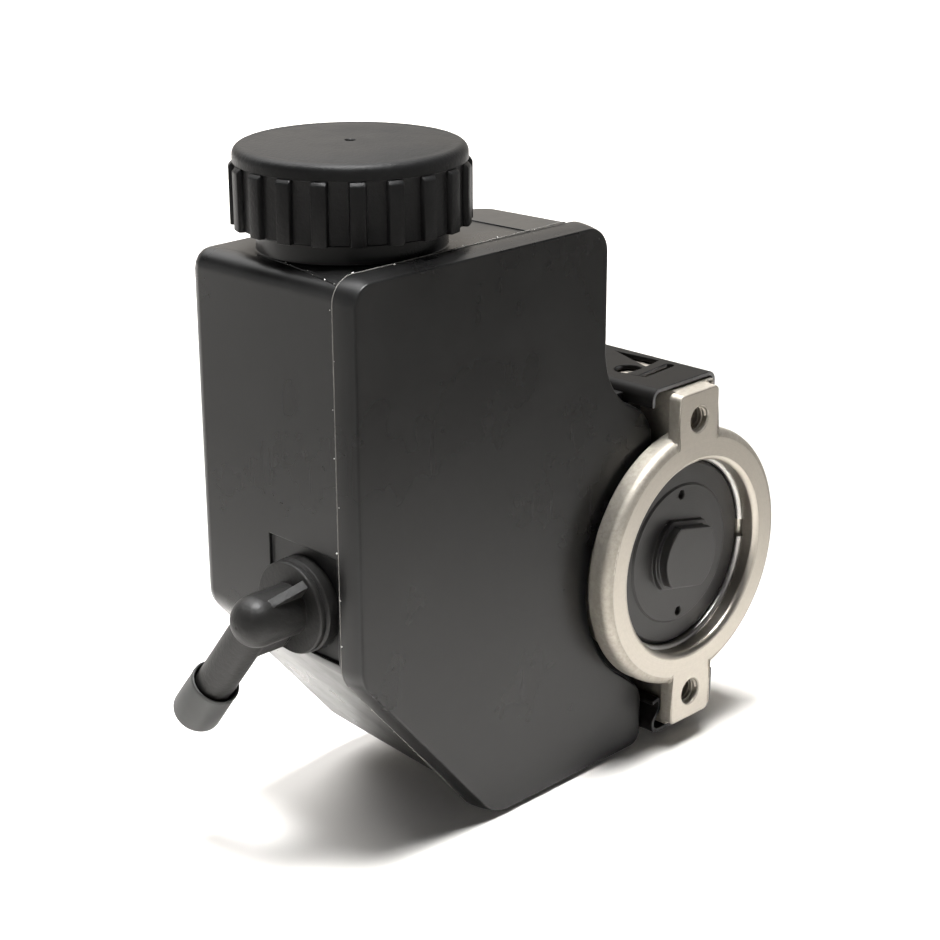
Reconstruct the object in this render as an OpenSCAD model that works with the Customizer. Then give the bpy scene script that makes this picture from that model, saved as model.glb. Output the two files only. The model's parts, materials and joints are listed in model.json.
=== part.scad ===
// Engine-driven vane pump for power steering, with a clip-on moulded fluid reservoir.
// Frame: +Z up, +Y along the shaft towards the pulley. The origin is on the shaft axis, in the
// machined rear face of the flange, midway between the two tapped ears.

/* [Rear flange] */
// Distance between the tapped holes of the two ears
ear_spacing = 76; // [75:0.5:80]
// Core radius of every tapped hole
tap_r = 3.4; // [2.5:0.1:3.6]
// Radius of the round flange
flange_r = 34.5; // [33.5:0.5:36]
// Thickness of the round flange
flange_t = 6.5; // [5.5:0.25:7]
// Rounding of the flange's cast outer edge
flange_round = 2.6; // [1:0.2:3.4]
// Thickness of an ear
ear_t = 4; // [3:0.25:5]
// Width of an ear
ear_w = 15.5; // [14:0.5:17]
// Reach of an ear past its hole
ear_reach = 7.5; // [6.5:0.25:7.75]

/* [Pump body] */
// Radius of the main bore
bore_r = 26; // [25.5:0.1:26.5]
// Depth of the main bore
bore_depth = 53; // [52.5:0.5:56]
// Wall of the round body behind the flange
body_wall = 3.5; // [3:0.1:3.6]
// Chamfer at the mouth of the bore
mouth_chamfer = 1.1; // [0.5:0.1:1.6]
// Distance from the rear face to the front mounting face
body_len = 80; // [78:1:86]
// Thickness of the front mounting flange
front_t = 13; // [10:1:13.5]
// Circle of the three front mounting holes
front_pcd = 72; // [70:1:76]
// Radius of each front lug
front_lug_r = 9; // [7:0.5:10]
// Radius of the pilot boss round the shaft seal
pilot_r = 17.5; // [16.5:0.5:20]
// Length of the pilot boss
pilot_len = 6; // [4:0.5:8]

/* [Shaft and rotor] */
// Radius of the drive shaft
shaft_r = 8.5; // [8:0.25:9]
// Radius of the pulley seat
pulley_r = 7.8; // [7.5:0.1:7.9]
// Length of shaft in front of the pilot boss
shaft_reach = 32; // [28:1:40]
// Outer radius of the rotor
rotor_r = 20.5; // [20:0.1:20.6]
// Width of the cam ring along the shaft
cam_width = 18; // [16:0.5:18.5]
// Number of vanes
vane_count = 10; // [8:2:10]
// Thickness of a vane
vane_t = 1.8; // [1.4:0.1:2]
// Height of a vane
vane_h = 8; // [6:0.5:8.5]
// Least inner radius of the cam ring
cam_minor = 20.9; // [20.9:0.05:21.1]
// Rise of the cam from its least to its greatest radius
cam_lift = 2.2; // [1.5:0.1:2.4]
// Radius of the two dowel pins
dowel_r = 1.5; // [1.2:0.1:1.6]

/* [End cover] */
// Depth of the end cover's face below the rear face
cover_depth = 5; // [4.5:0.25:6]
// Thickness of the end cover
cover_t = 12; // [11.5:0.25:12.5]
// Radius of the flat face inside the sloped shoulder
cover_face_r = 23.6; // [23:0.1:24]
// Radius of the shallow step on the face
cover_step_r = 18.7; // [17.5:0.1:20]
// Radius of the raised double-D boss
boss_r = 10; // [9:0.25:11]
// Distance across the flats of the boss
boss_flats = 16; // [14:0.5:17.5]
// Height of the boss above the cover's face
boss_h = 4; // [2:0.25:4.5]
// Distance of each dimple from the centre
dimple_at = 16.3; // [15.5:0.1:16.8]
// Radius of the wire of the retaining ring
wire_r = 1.2; // [1:0.1:1.3]

/* [Flow control valve] */
// Distance of the valve bore from the shaft axis
valve_x = 39; // [38.5:0.5:42]
// Distance of the valve bore from the rear face
valve_y = 44; // [42:0.5:46]
// Radius of the valve bore
valve_r = 8; // [7:0.25:8]
// Wall round the valve bore
valve_wall = 4.5; // [3.5:0.25:5]
// Length of the spool
spool_len = 30; // [26:1:32]
// Travel of the spool
spool_travel = 6; // [4:0.5:7]
// Width across the flats of the outlet fitting
fitting_flats = 24; // [22:0.5:26]
// Core radius of the outlet port
port_r = 7; // [6:0.25:7.2]
// Depth of the outlet port's thread
port_len = 14; // [12:1:16]

/* [Reservoir] */
// Reach of the lid to the left of the shaft axis
lid_left = 110.4; // [107:0.5:115]
// Distance from the shaft axis to the lid's upper right edge
lid_right = 26.5; // [25:0.5:28]
// Height of the lid's top edge above the shaft axis
lid_top = 92.7; // [91:0.5:97]
// Depth of the lid's bottom edge below the shaft axis
lid_bottom = 52.5; // [51:0.5:55]
// Depth below the axis where the left edge turns into the slope
lid_knee = 1.7; // [0:0.5:6]
// Distance from the axis to the foot of the slope
lid_foot = 66.8; // [62:0.5:70]
// Gap between the flange and the lid's outer face
lid_gap = 1.5; // [1:0.25:2]
// Depth of the lid's rim
lid_rim = 6.5; // [5.5:0.25:7.5]
// Thickness of the lid's plate
lid_plate = 3; // [2.4:0.1:3.4]
// Rounding of the lid's outer edge
lid_edge_r = 1.8; // [1:0.1:2]
// Wall thickness of the moulding
res_wall = 2.5; // [2:0.1:2.8]
// Depth of the reservoir's box behind the lid
box_depth = 51.8; // [50:0.2:52]
// Step from the lid's rim in to the box at the left and the top
rim_step = 1.1; // [0.6:0.1:1.6]
// Distance from the shaft axis to the box's right wall
box_right = 35; // [34.5:0.5:37]
// Draft of the left wall and the top over the depth of the box
side_draft = 1; // [0.5:0.1:1.4]
// Draft of the slope and the bottom over the depth of the box
floor_draft = 3.4; // [2:0.2:4]

/* [Filler cap] */
// Distance of the cap's axis to the left of the shaft axis
cap_x = 81.5; // [80:0.25:82]
// Distance of the cap's axis from the rear face
cap_y = 39.1; // [38.5:0.1:40]
// Height of the skirt's lower edge above the lid's top edge
cap_gap = 4; // [3.5:0.1:5]
// Radius of the skirt between the ribs
skirt_r = 26.7; // [26:0.1:27.2]
// Height of the ribs above the skirt
rib_h = 1.2; // [0.6:0.1:1.5]
// Width of each rib
rib_w = 3.4; // [2.5:0.1:4]
// Number of ribs
rib_count = 20; // [16:1:24]
// Height of the whole cap
cap_h = 18.5; // [18:0.1:21]
// Height of the plain band over the ribs
band_h = 4.1; // [3.6:0.1:5]
// Room for the thread between the cap and the neck
thread_room = 2; // [1.6:0.1:2.6]
// Rise of the cap in one turn
thread_pitch = 4; // [3:0.5:5]
// Length of the dipstick below the cap
dipstick_len = 66; // [50:1:80]

/* [Return connection] */
// Distance of the connection from the rear face
elbow_y = 28.3; // [28:0.1:29]
// Height of the connection above the shaft axis
elbow_z = 13; // [12.5:0.1:14.5]
// Radius of the collar against the wall
collar_r = 11.3; // [10.6:0.1:11.5]
// Length of the collar
collar_len = 5.6; // [4.5:0.1:7]
// Radius of the arm and of its domed end
arm_r = 6.2; // [5.9:0.1:6.6]
// Distance from the collar to the bend
arm_len = 9.5; // [9:0.1:11]
// Radius of the hose nipple
nipple_r = 4.75; // [4.5:0.05:5]
// Radius of the passage through the connection
passage_r = 3; // [2.5:0.1:3.2]
// Length of the nipple from the bend
nipple_len = 37; // [34:0.5:40]
// Lean of the nipple from straight down, towards the pulley
nipple_lean = 38; // [20:1:45]
// Length of the push-on dust cap
dust_len = 14.5; // [12:0.5:16]

/* [Clips] */
// Thickness of the clip's sheet
sheet_t = 1.2; // [0.8:0.1:1.4]
// Width of a clip across its flanges
clip_w = 25.1; // [25:0.1:25.6]
// Length of a clip
clip_len = 46; // [42:0.5:46.5]
// Offset of the upper clip to the left of the shaft axis
upper_shift = 0; // [-0.3:0.1:0.3]
// Offset of the lower clip to the right of the shaft axis
lower_shift = 3.15; // [2.9:0.05:3.4]
// Distance of the lower clip's web below its ear
lower_drop = 2.7; // [1:0.1:3]

/* [Hidden] */
$fn = 48;
fit_gap = 0.05;
slip_gap = 0.15;
run_gap = 0.3;
eps = 0.01;

// Pump body
ear_z = ear_spacing / 2;
ear_top = ear_z + ear_reach;
body_r = bore_r + body_wall;
front_y = body_len - front_t;
pilot_end = body_len + pilot_len;
shaft_end = pilot_end + shaft_reach;
saddle_gap = 0.5;
boss_left = 4.8;
boss_len = 9.5;
rail_left = 1.5;
rail_end = 52;

// Stack in the bore, from the end cover forwards
cover_back = cover_depth + cover_t;
thrust_t = 5.8;
cam_front = bore_depth - thrust_t;
cam_back = cam_front - cam_width;
plate_t = 9;
plate_back = cam_back - plate_t;
stack_r = bore_r - slip_gap;
wire_at = bore_r + 0.2;
wire_y = cover_depth + wire_at - cover_face_r - (wire_r + fit_gap) * sqrt(2);
seal_wire = 1.3;
seal_seat = 2 * seal_wire;
spring_seat_r = 12;
spring_wire = 1.1;
spring_pocket = 5;
dowel_at = (cam_minor + stack_r) / 2;
dowel_back = plate_back + plate_t * 0.4 + seal_wire + slip_gap + 0.5;
dowel_front = cam_front + thrust_t / 2;
spline_root = shaft_r - 1.9;
spline_tip = shaft_r - 0.9;
spline_teeth = 8;
spline_w = 2;
shaft_back = cam_back - 3.2;
clip_groove_y = cam_back - 1.5;
bush_wall = 2;
bush_len = 18;
seal_r = 14;
seal_len = 7;

// Flow control valve
valve_top = 28;
valve_low = -36;
valve_end = valve_top - valve_wall;
fitting_in = 12;
fitting_r = valve_r + 1;
nose_z = valve_low + fitting_in + 1.8;
spool_low = nose_z + fit_gap;
spool_high = spool_low + spool_len;
spool_pocket = 12;
hex_h = 9;
hex_top = valve_low - 1.4;
spring_coil_r = valve_r - 3;

// Reservoir
lid_y = flange_t + lid_gap;
rim_y = lid_y + lid_rim;
box_back = rim_y + box_depth;
box_round = 4;
box_corner = box_round + 1;
slope = (lid_bottom - lid_knee) / (lid_left - lid_foot);
slope_len = sqrt(1 + slope * slope);
floor_step = 6;
slope_step = 1.5;
arm_top = ear_top - 0.5;
arm_low = ear_top + lower_drop - 1;
arm_face = 5.6;
rail_face = rail_left + saddle_gap;
rail_start = flange_t + boss_len + 0.5;
saddle_r = body_r + saddle_gap;
lobe_upper = 8.2;
lobe_lower = 9.9;
lid_arc_r = body_r + 2.8;
lid_arc_drop = 2.5;
arm_core = 15.5;
arc_wall = 5.5;
saddle_end = box_back - box_round;
supply_y = 42;
spigot_r = 8.4;
spigot_bore = 6;
spigot_end = body_r - 1.1;
supply_pad_r = 13;
supply_pad_x = body_r + 3.1;
supply_seat = supply_pad_x + 0.6;
seal_x = (supply_pad_x + spigot_end) / 2;
seal_step = 1.3;

// Filler cap
skirt_z = lid_top + cap_gap;
cap_top = skirt_z + cap_h;
cap_wall = 3.3;
cap_roof = cap_top - cap_wall;
cap_bore = skirt_r - cap_wall;
rib_top = cap_top - band_h;
neck_r = cap_bore - thread_room;
neck_wall = 3;
neck_top = cap_roof - 2.4;
collar_top = skirt_z - 0.8;
neck_collar_r = neck_r + 0.8;
cap_seal_t = 2.2;
cap_seal_rim = 1;
dipstick_head = 0.5 * cap_bore;
dipstick_r = 2.2;
blade_len = 30;
blade_w = 8;
blade_t = 2.4;

// Return connection
box_left = lid_left - rim_step;
pad_depth = 0.8;
pad_half = [11.7, 13];
pad_x = -box_left + pad_depth + side_draft / 2;
collar_x = pad_x - collar_len;
bend_x = collar_x - arm_len;
gusset_t = 2.2;
web_reach = arm_r + 3.6;
dust_wall = 0.9;
dust_at = nipple_len - dust_len + 3.5;

// Clips
clip_seat = 0.5;
clip_inside = ear_top + clip_seat;
clip_mid = clip_inside + sheet_t / 2;
lower_inside = ear_top + lower_drop;
lower_mid = lower_inside + sheet_t / 2;
lower_top = lower_inside - clip_seat;
clip_half = (clip_w - sheet_t) / 2;
clip_y = ear_t + 1.2;
rail_upper = clip_half - sheet_t / 2 - upper_shift - clip_seat;
rail_lower = clip_half - sheet_t / 2 + lower_shift - clip_seat;
upper_flange = 4.2;
lower_flange = 8.9;
hook_flange = 10.8;
clip_curl = 2.6;
clip_bend = 2;

// Points of the arc that rounds corner b of the path a, b, c to radius r.
function corner(a, b, c, r, n) =
    let (u = (a - b) / norm(a - b),
         v = (c - b) / norm(c - b),
         half = acos(u * v) / 2,
         m = b + (u + v) / norm(u + v) * r / sin(half),
         p = b + u * r / tan(half) - m,
         q = b + v * r / tan(half) - m,
         a0 = atan2(p.y, p.x),
         turn = atan2(q.y, q.x) - a0,
         sweep = turn > 180 ? turn - 360 : turn < -180 ? turn + 360 : turn)
    [for (i = [0:n]) m + r * [cos(a0 + sweep * i / n), sin(a0 + sweep * i / n)]];

// A corner is [x, y] or, rounded, [x, y, radius].
function flat(p) = [p.x, p.y];
function round_at(a, b, c, n) =
    len(b) > 2 ? corner(flat(a), flat(b), flat(c), b[2], n) : [flat(b)];

// Closed outline with rounded corners.
function rounded(pts, n = 6) =
    let (k = len(pts))
    [for (i = [0:k - 1]) each round_at(pts[(i + k - 1) % k], pts[i], pts[(i + 1) % k], n)];

// Open path with rounded bends.
function bent(pts, n = 5) =
    let (k = len(pts))
    [for (i = [0:k - 1])
        each (i == 0 || i == k - 1) ? [flat(pts[i])] : round_at(pts[i - 1], pts[i], pts[i + 1], n)];

// Unit normal to the left of the way from a to b.
function left_of(a, b) = [a.y - b.y, b.x - a.x] / norm(b - a);

// Closed outline, drawn anticlockwise, moved inwards by d.
function inset(pts, d) =
    let (k = len(pts))
    [for (i = [0:k - 1])
        let (m = left_of(pts[(i + k - 1) % k], pts[i]),
             n = left_of(pts[i], pts[(i + 1) % k]))
        pts[i] + d * (m + n) / (1 + m * n)];

// Outline of a sheet of thickness t along an open path.
function strip(path, t) =
    let (k = len(path),
         side = [for (i = [0:k - 1])
             let (m = left_of(path[max(i - 1, 0)], path[max(i, 1)]),
                  n = left_of(path[min(i, k - 2)], path[min(i + 1, k - 1)]))
             t / 2 * (m + n) / (1 + m * n)])
    concat([for (i = [0:k - 1]) path[i] - side[i]], [for (i = [k - 1:-1:0]) path[i] + side[i]]);

// An x, z outline set at depth y.
function at_depth(pts, y) = [for (p = pts) [p.x, y, p.y]];

// Solid through a row of rings that have the same number of points.
module loft(rings) {
    n = len(rings[0]);
    last = (len(rings) - 1) * n;
    polyhedron(
        points = [for (ring = rings) each ring],
        faces = concat(
            [[for (i = [n - 1:-1:0]) i]],
            [for (j = [0:len(rings) - 2], i = [0:n - 1])
                [j * n + i, j * n + (i + 1) % n, (j + 1) * n + (i + 1) % n, (j + 1) * n + i]],
            [[for (i = [0:n - 1]) last + i]]));
}

// Turns a shape made along +Z so that it runs along +Y from depth y.
module along_y(y = 0) {
    translate([0, y, 0])
        rotate([-90, 0, 0])
            children();
}

// Extrudes an x, z outline from depth y0 to depth y1.
module between(y0, y1) {
    translate([0, y1, 0])
        rotate([90, 0, 0])
            linear_extrude(y1 - y0)
                children();
}

// Ring of round section about the shaft axis.
module round_ring(r, wire, y) {
    along_y(y)
        rotate_extrude()
            translate([r, 0])
                circle(wire, $fn = 24);
}

// Sector of a flat ring, for ports and kidneys.
module ring_sector(r0, r1, middle, half) {
    reach = 2 * r1;
    intersection() {
        difference() {
            circle(r1);
            circle(r0);
        }
        polygon([[0, 0],
            reach * [cos(middle - half), sin(middle - half)],
            reach * [cos(middle), sin(middle)],
            reach * [cos(middle + half), sin(middle + half)]]);
    }
}

// Coil spring along +Z with its ends drawn in to one wire apart.
module coil(r, wire, turns, h, steps = 18, sides = 8) {
    n = turns * steps;
    rise = h - 2 * wire;
    rings = [for (i = [0:n])
        let (a = i / steps * 360, z = wire + rise * (1 - cos(180 * i / n)) / 2)
        [for (k = [0:sides - 1])
            let (q = 360 * k / sides, s = r + wire * cos(q))
            [s * cos(a), s * sin(a), z + wire * sin(q)]]];
    loft([for (ring = rings) [for (k = [sides - 1:-1:0]) ring[k]]]);
}

// Tapped hole along +Z from its mouth, with a countersunk mouth.
module tapped(depth) {
    translate([0, 0, -eps])
        cylinder(r = tap_r, h = depth + eps);
}

// Splined section of the shaft, grown by a clearance.
module spline(grow) {
    circle(spline_root + grow);
    for (i = [0:spline_teeth - 1])
        rotate(i * 360 / spline_teeth)
            translate([0, -spline_w / 2 - grow])
                square([spline_tip + grow, spline_w + 2 * grow]);
}

// Outline of one ear, upwards from the flange.
module ear_outline() {
    polygon(rounded([
        [-ear_w / 2, bore_r + 2],
        [ear_w / 2, bore_r + 2],
        [ear_w / 2, ear_top, 1.6],
        [-ear_w / 2, ear_top, 1.6]]));
}

// Rail and screw boss behind the upper ear, up to a height and out to the right.
module rail(top, right) {
    between(ear_t - 1, clip_y)
        translate([-boss_left, bore_r + 1])
            square([boss_left + ear_w / 2 - 0.5, ear_top - bore_r - 1]);
    between(clip_y - 1, flange_t + boss_len)
        translate([-boss_left, bore_r + 1])
            square([boss_left + right, top - bore_r - 1]);
    between(flange_t, rail_end)
        translate([-rail_left, bore_r + 1])
            square([rail_left + right, top - bore_r - 1]);
}

// Both ears, the upper one and the same turned over.
module both_ends() {
    children();
    mirror([0, 0, 1])
        children();
}

module flange_ring() {
    along_y()
        rotate_extrude($fn = 96)
            difference() {
                square([flange_r, flange_t]);
                translate([flange_r - flange_round, 0])
                    difference() {
                        translate([0, -eps])
                            square(flange_round + eps);
                        translate([0, flange_round])
                            circle(flange_round);
                    }
            }
}

module front_flange() {
    between(front_y, body_len) {
        circle(r = body_r + 2, $fn = 96);
        for (a = [90, 210, 330])
            rotate(a) {
                translate([0, -front_lug_r])
                    square([front_pcd / 2, 2 * front_lug_r]);
                translate([front_pcd / 2, 0])
                    circle(front_lug_r);
            }
    }
}

module valve_casting() {
    translate([valve_x, valve_y, valve_low])
        cylinder(r = valve_r + valve_wall, h = valve_top - valve_low);
    translate([bore_r * 0.7, valve_y - valve_r, valve_low + 6])
        cube([valve_x - bore_r * 0.7, 2 * valve_r, valve_top - valve_low - 12]);
}

module pump_housing() {
    color("gainsboro")
        difference() {
            union() {
                flange_ring();
                both_ends()
                    between(0, ear_t)
                        ear_outline();
                rail(ear_top, rail_upper);
                mirror([0, 0, 1])
                    rail(lower_top, rail_lower);
                along_y(flange_t - 1)
                    cylinder(r = body_r, h = body_len - flange_t, $fn = 96);
                front_flange();
                along_y(body_len - 1)
                    cylinder(r = pilot_r, h = pilot_len + 1);
                valve_casting();
                translate([-supply_pad_x, supply_y, 0])
                    rotate([0, 90, 0])
                        cylinder(r = supply_pad_r, h = supply_pad_x - bore_r * 0.7);
            }
            along_y(-eps)
                cylinder(r = bore_r, h = bore_depth + eps, $fn = 96);
            along_y(-eps)
                cylinder(r1 = bore_r + mouth_chamfer, r2 = bore_r, h = mouth_chamfer + eps, $fn = 96);
            round_ring(wire_at, wire_r + 2 * fit_gap, wire_y);
            along_y(bore_depth - 1)
                cylinder(r = shaft_r + bush_wall, h = pilot_end);
            along_y(pilot_end - seal_len - 1)
                cylinder(r = seal_r, h = seal_len + 2);
            both_ends()
                translate([0, 0, ear_z])
                    along_y()
                        tapped(flange_t + boss_len - 1);
            for (a = [90, 210, 330])
                rotate([0, -a, 0])
                    translate([front_pcd / 2, body_len, 0])
                        rotate([90, 0, 0])
                            tapped(front_t - 2);
            translate([valve_x, valve_y, valve_low - eps])
                cylinder(r = valve_r, h = valve_end - valve_low + eps);
            translate([valve_x, valve_y, valve_low - eps])
                cylinder(r = fitting_r, h = fitting_in + eps);
            translate([bore_r - 2, valve_y, 2])
                rotate([0, 90, 0])
                    cylinder(r = 3, h = valve_x - bore_r);
            translate([-supply_pad_x - eps, supply_y, 0])
                rotate([0, 90, 0])
                    cylinder(r = spigot_r + slip_gap, h = supply_pad_x - spigot_end + 0.5);
            translate([-supply_pad_x, supply_y, 0])
                rotate([0, 90, 0])
                    cylinder(r = spigot_bore, h = supply_pad_x - bore_r * 0.7);
        }
}

// The double-D boss widens towards the face it stands on.
module double_d(grow) {
    rotate(-12)
        intersection() {
            circle(boss_r + grow);
            square([4 * boss_r, boss_flats + 2 * grow], center = true);
        }
}

module end_cover() {
    shoulder = stack_r - cover_face_r;
    color("dimgray")
        difference() {
            union() {
                along_y(cover_depth)
                    rotate_extrude($fn = 96)
                        polygon([[0, 0], [cover_face_r, 0], [stack_r, shoulder],
                            [stack_r, cover_t], [0, cover_t]]);
                between(cover_depth - boss_h / 3, cover_depth + 1)
                    double_d(1.2);
                between(cover_depth - boss_h, cover_depth + 1)
                    double_d(0);
            }
            along_y(cover_depth - eps)
                difference() {
                    cylinder(r = cover_face_r + 1, h = 0.5);
                    cylinder(r = cover_step_r, h = 2);
                }
            for (s = [-1, 1])
                translate([0, 0, s * dimple_at])
                    along_y(cover_depth - eps)
                        cylinder(r = 1.15, h = 1.5, $fn = 24);
            seal_groove(cover_depth + cover_t * 0.62);
            along_y(cover_back - spring_pocket)
                cylinder(r = spring_seat_r + spring_wire + 1.5, h = spring_pocket + 1);
        }
}

// Groove for an O-ring in the rim of a disc of the stack.
module seal_groove(y) {
    along_y(y - seal_wire - slip_gap)
        difference() {
            cylinder(r = bore_r + 1, h = 2 * (seal_wire + slip_gap), $fn = 96);
            translate([0, 0, -1])
                cylinder(r = stack_r - seal_seat, h = 6, $fn = 96);
        }
}

module bore_seal(y) {
    round_ring(bore_r - fit_gap - seal_wire, seal_wire - fit_gap, y);
}

module end_cover_seal() {
    color("black")
        bore_seal(cover_depth + cover_t * 0.62);
}

module retaining_ring() {
    color("silver")
        difference() {
            round_ring(wire_at, wire_r, wire_y);
            translate([wire_at, wire_y, 0])
                cube([4 * wire_r, 4 * wire_r, 5], center = true);
        }
}

module pressure_plate() {
    color("darkgray")
        difference() {
            along_y(plate_back)
                cylinder(r = stack_r, h = plate_t - fit_gap, $fn = 96);
            seal_groove(plate_back + plate_t * 0.4);
            along_y(plate_back - 1)
                cylinder(r = shaft_r + 1, h = plate_t + 2);
            between(plate_back - 1, cam_back + 1)
                for (a = [45, 225])
                    ring_sector(rotor_r - 4, rotor_r - 0.5, a, 22);
            dowel_holes();
        }
}

module pressure_plate_seal() {
    color("black")
        bore_seal(plate_back + plate_t * 0.4);
}

module pressure_plate_spring() {
    room = plate_back - cover_back + spring_pocket;
    color("slategray")
        along_y(cover_back - spring_pocket + fit_gap)
            coil(spring_seat_r, spring_wire, 3, room - 2 * fit_gap, steps = 24);
}

module dowel_holes() {
    for (s = [-1, 1])
        translate([0, 0, s * dowel_at])
            along_y(dowel_back - slip_gap)
                cylinder(r = dowel_r + fit_gap, h = dowel_front - dowel_back + slip_gap, $fn = 24);
}

// Two-lobed bore of the cam ring: least radius across Z, greatest across X.
function cam_at(a) = cam_minor + cam_lift * (1 + cos(2 * a)) / 2;

module cam_ring() {
    color("gray")
        difference() {
            between(cam_back, cam_front - fit_gap)
                difference() {
                    circle(stack_r, $fn = 96);
                    polygon([for (i = [0:71]) cam_at(5 * i) * [cos(5 * i), sin(5 * i)]]);
                }
            dowel_holes();
        }
}

// Slot and vane number i stand at this angle.
function vane_angle(i) = (i - 0.5) * 360 / vane_count;

module rotor() {
    slot_root = rotor_r - vane_h - 0.6;
    color("darkslategray")
        between(cam_back + slip_gap, cam_front - slip_gap)
            difference() {
                circle(rotor_r, $fn = 96);
                spline(fit_gap);
                for (i = [1:vane_count])
                    rotate(vane_angle(i)) {
                        translate([slot_root, -vane_t / 2 - fit_gap])
                            square([vane_h + 2, vane_t + 2 * fit_gap]);
                        translate([slot_root, 0])
                            circle(vane_t * 0.75);
                    }
            }
}

module vane(i) {
    color("silver")
        between(cam_back + slip_gap, cam_front - slip_gap)
            rotate(vane_angle(i))
                translate([rotor_r - vane_h, -vane_t / 2])
                    intersection() {
                        square([vane_h, vane_t]);
                        translate([vane_h - 1.5 * vane_t, vane_t / 2])
                            union() {
                                circle(1.5 * vane_t);
                                translate([-2 * vane_h, -vane_t])
                                    square([2 * vane_h, 2 * vane_t]);
                            }
                    }
}

module rotor_clip() {
    color("slategray")
        between(clip_groove_y - 0.5, clip_groove_y + 0.5)
            difference() {
                circle(spline_tip + 0.6);
                circle(spline_root - 0.9 + fit_gap);
                translate([0, -1.5])
                    square([2 * spline_tip, 3]);
            }
}

module thrust_plate() {
    color("darkgray")
        difference() {
            along_y(cam_front)
                cylinder(r = stack_r, h = thrust_t - fit_gap, $fn = 96);
            along_y(cam_front - 1)
                cylinder(r = shaft_r + 1, h = thrust_t + 2);
            between(cam_front - 1, cam_front + thrust_t / 2)
                for (a = [45, 135, 225, 315])
                    ring_sector(rotor_r - 4, rotor_r - 0.5, a, 20);
            dowel_holes();
        }
}

module dowel_pins() {
    color("silver")
        for (s = [-1, 1])
            translate([0, 0, s * dowel_at])
                along_y(dowel_back)
                    cylinder(r = dowel_r, h = dowel_front - fit_gap - dowel_back, $fn = 24);
}

module drive_shaft() {
    tip = 1.2;
    color("lightgray")
        difference() {
            union() {
                between(shaft_back, cam_front)
                    spline(0);
                along_y(cam_front - eps)
                    cylinder(r = shaft_r, h = pilot_end + 1 - cam_front + eps);
                along_y(pilot_end)
                    cylinder(r = pulley_r, h = shaft_reach - tip);
                along_y(shaft_end - tip)
                    cylinder(r1 = pulley_r, r2 = pulley_r - tip, h = tip);
            }
            between(clip_groove_y - 0.6, clip_groove_y + 0.6)
                difference() {
                    circle(2 * shaft_r);
                    circle(spline_root - 0.9);
                }
            along_y(shaft_end - 22)
                cylinder(r = tap_r, h = 23);
            along_y(shaft_end - 2)
                cylinder(r1 = tap_r, r2 = tap_r + 2.2, h = 2.2);
        }
}

module shaft_bush() {
    color("peru")
        along_y(bore_depth + 1)
            difference() {
                cylinder(r = shaft_r + bush_wall - fit_gap, h = bush_len);
                translate([0, 0, -1])
                    cylinder(r = shaft_r + fit_gap, h = bush_len + 2);
            }
}

module shaft_seal() {
    y0 = pilot_end - seal_len;
    lip = shaft_r + fit_gap;
    color("black")
        along_y(y0)
            rotate_extrude()
                polygon([[lip, 1.6], [lip + 1.4, 0.6], [seal_r - 1.6, 0.6], [seal_r - fit_gap, 0],
                    [seal_r - fit_gap, seal_len - 1], [lip + 0.6, seal_len - 1], [lip + 1.2, 4],
                    [lip, 2.8]]);
}

module flow_valve_spool() {
    land = valve_r - fit_gap;
    neck = valve_r - 2;
    color("silver")
        translate([valve_x, valve_y, spool_low])
            difference() {
                rotate_extrude()
                    polygon([[0, 0], [land - 3, 0], [land - 3, 2.5], [land, 2.5], [land, 9],
                        [neck, 9], [neck, 15], [land, 15], [land, spool_len], [0, spool_len]]);
                translate([0, 0, spool_len - spool_pocket])
                    cylinder(r = spring_coil_r + 1.4, h = spool_pocket + 1);
                translate([0, 0, 12])
                    rotate([0, 90, 0])
                        cylinder(r = 1.2, h = 4 * valve_r, center = true, $fn = 24);
            }
}

module flow_valve_spring() {
    low = spool_high - spool_pocket + fit_gap;
    color("slategray")
        translate([valve_x, valve_y, low])
            coil(spring_coil_r, 0.8, 7, valve_end - low - fit_gap);
}

module outlet_fitting() {
    head_r = fitting_flats / 2 / cos(30);
    color("goldenrod")
        translate([valve_x, valve_y, 0])
            difference() {
                union() {
                    translate([0, 0, hex_top - hex_h])
                        intersection() {
                            cylinder(r = head_r, h = hex_h, $fn = 6);
                            cylinder(r1 = head_r - 1.2, r2 = head_r + hex_h - 1.2, h = hex_h);
                        }
                    translate([0, 0, hex_top - eps])
                        cylinder(r = fitting_r - 1.8, h = 3);
                    translate([0, 0, valve_low + 1])
                        cylinder(r = fitting_r - fit_gap, h = fitting_in - 1 - fit_gap);
                    translate([0, 0, valve_low + fitting_in - 1])
                        cylinder(r = valve_r - 2, h = nose_z - valve_low - fitting_in + 1);
                }
                translate([0, 0, hex_top - hex_h - eps])
                    cylinder(r = port_r, h = port_len + eps);
                translate([0, 0, hex_top - hex_h])
                    cylinder(r = 2.6, h = 60);
                translate([0, 0, hex_top - hex_h - eps])
                    cylinder(r1 = port_r + 1.4, r2 = port_r, h = 1.4);
            }
}

module outlet_seal() {
    wire = (valve_low - hex_top) / 2;
    color("black")
        translate([valve_x, valve_y, valve_low - wire])
            rotate_extrude()
                translate([fitting_r - 1.8 + wire, 0])
                    circle(wire - fit_gap, $fn = 24);
}

module supply_seal() {
    wire = (seal_step + slip_gap) / 2;
    color("black")
        on_supply(-seal_x)
            rotate_extrude()
                translate([spigot_r - seal_step + wire, 0])
                    circle(wire - fit_gap, $fn = 24);
}

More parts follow.
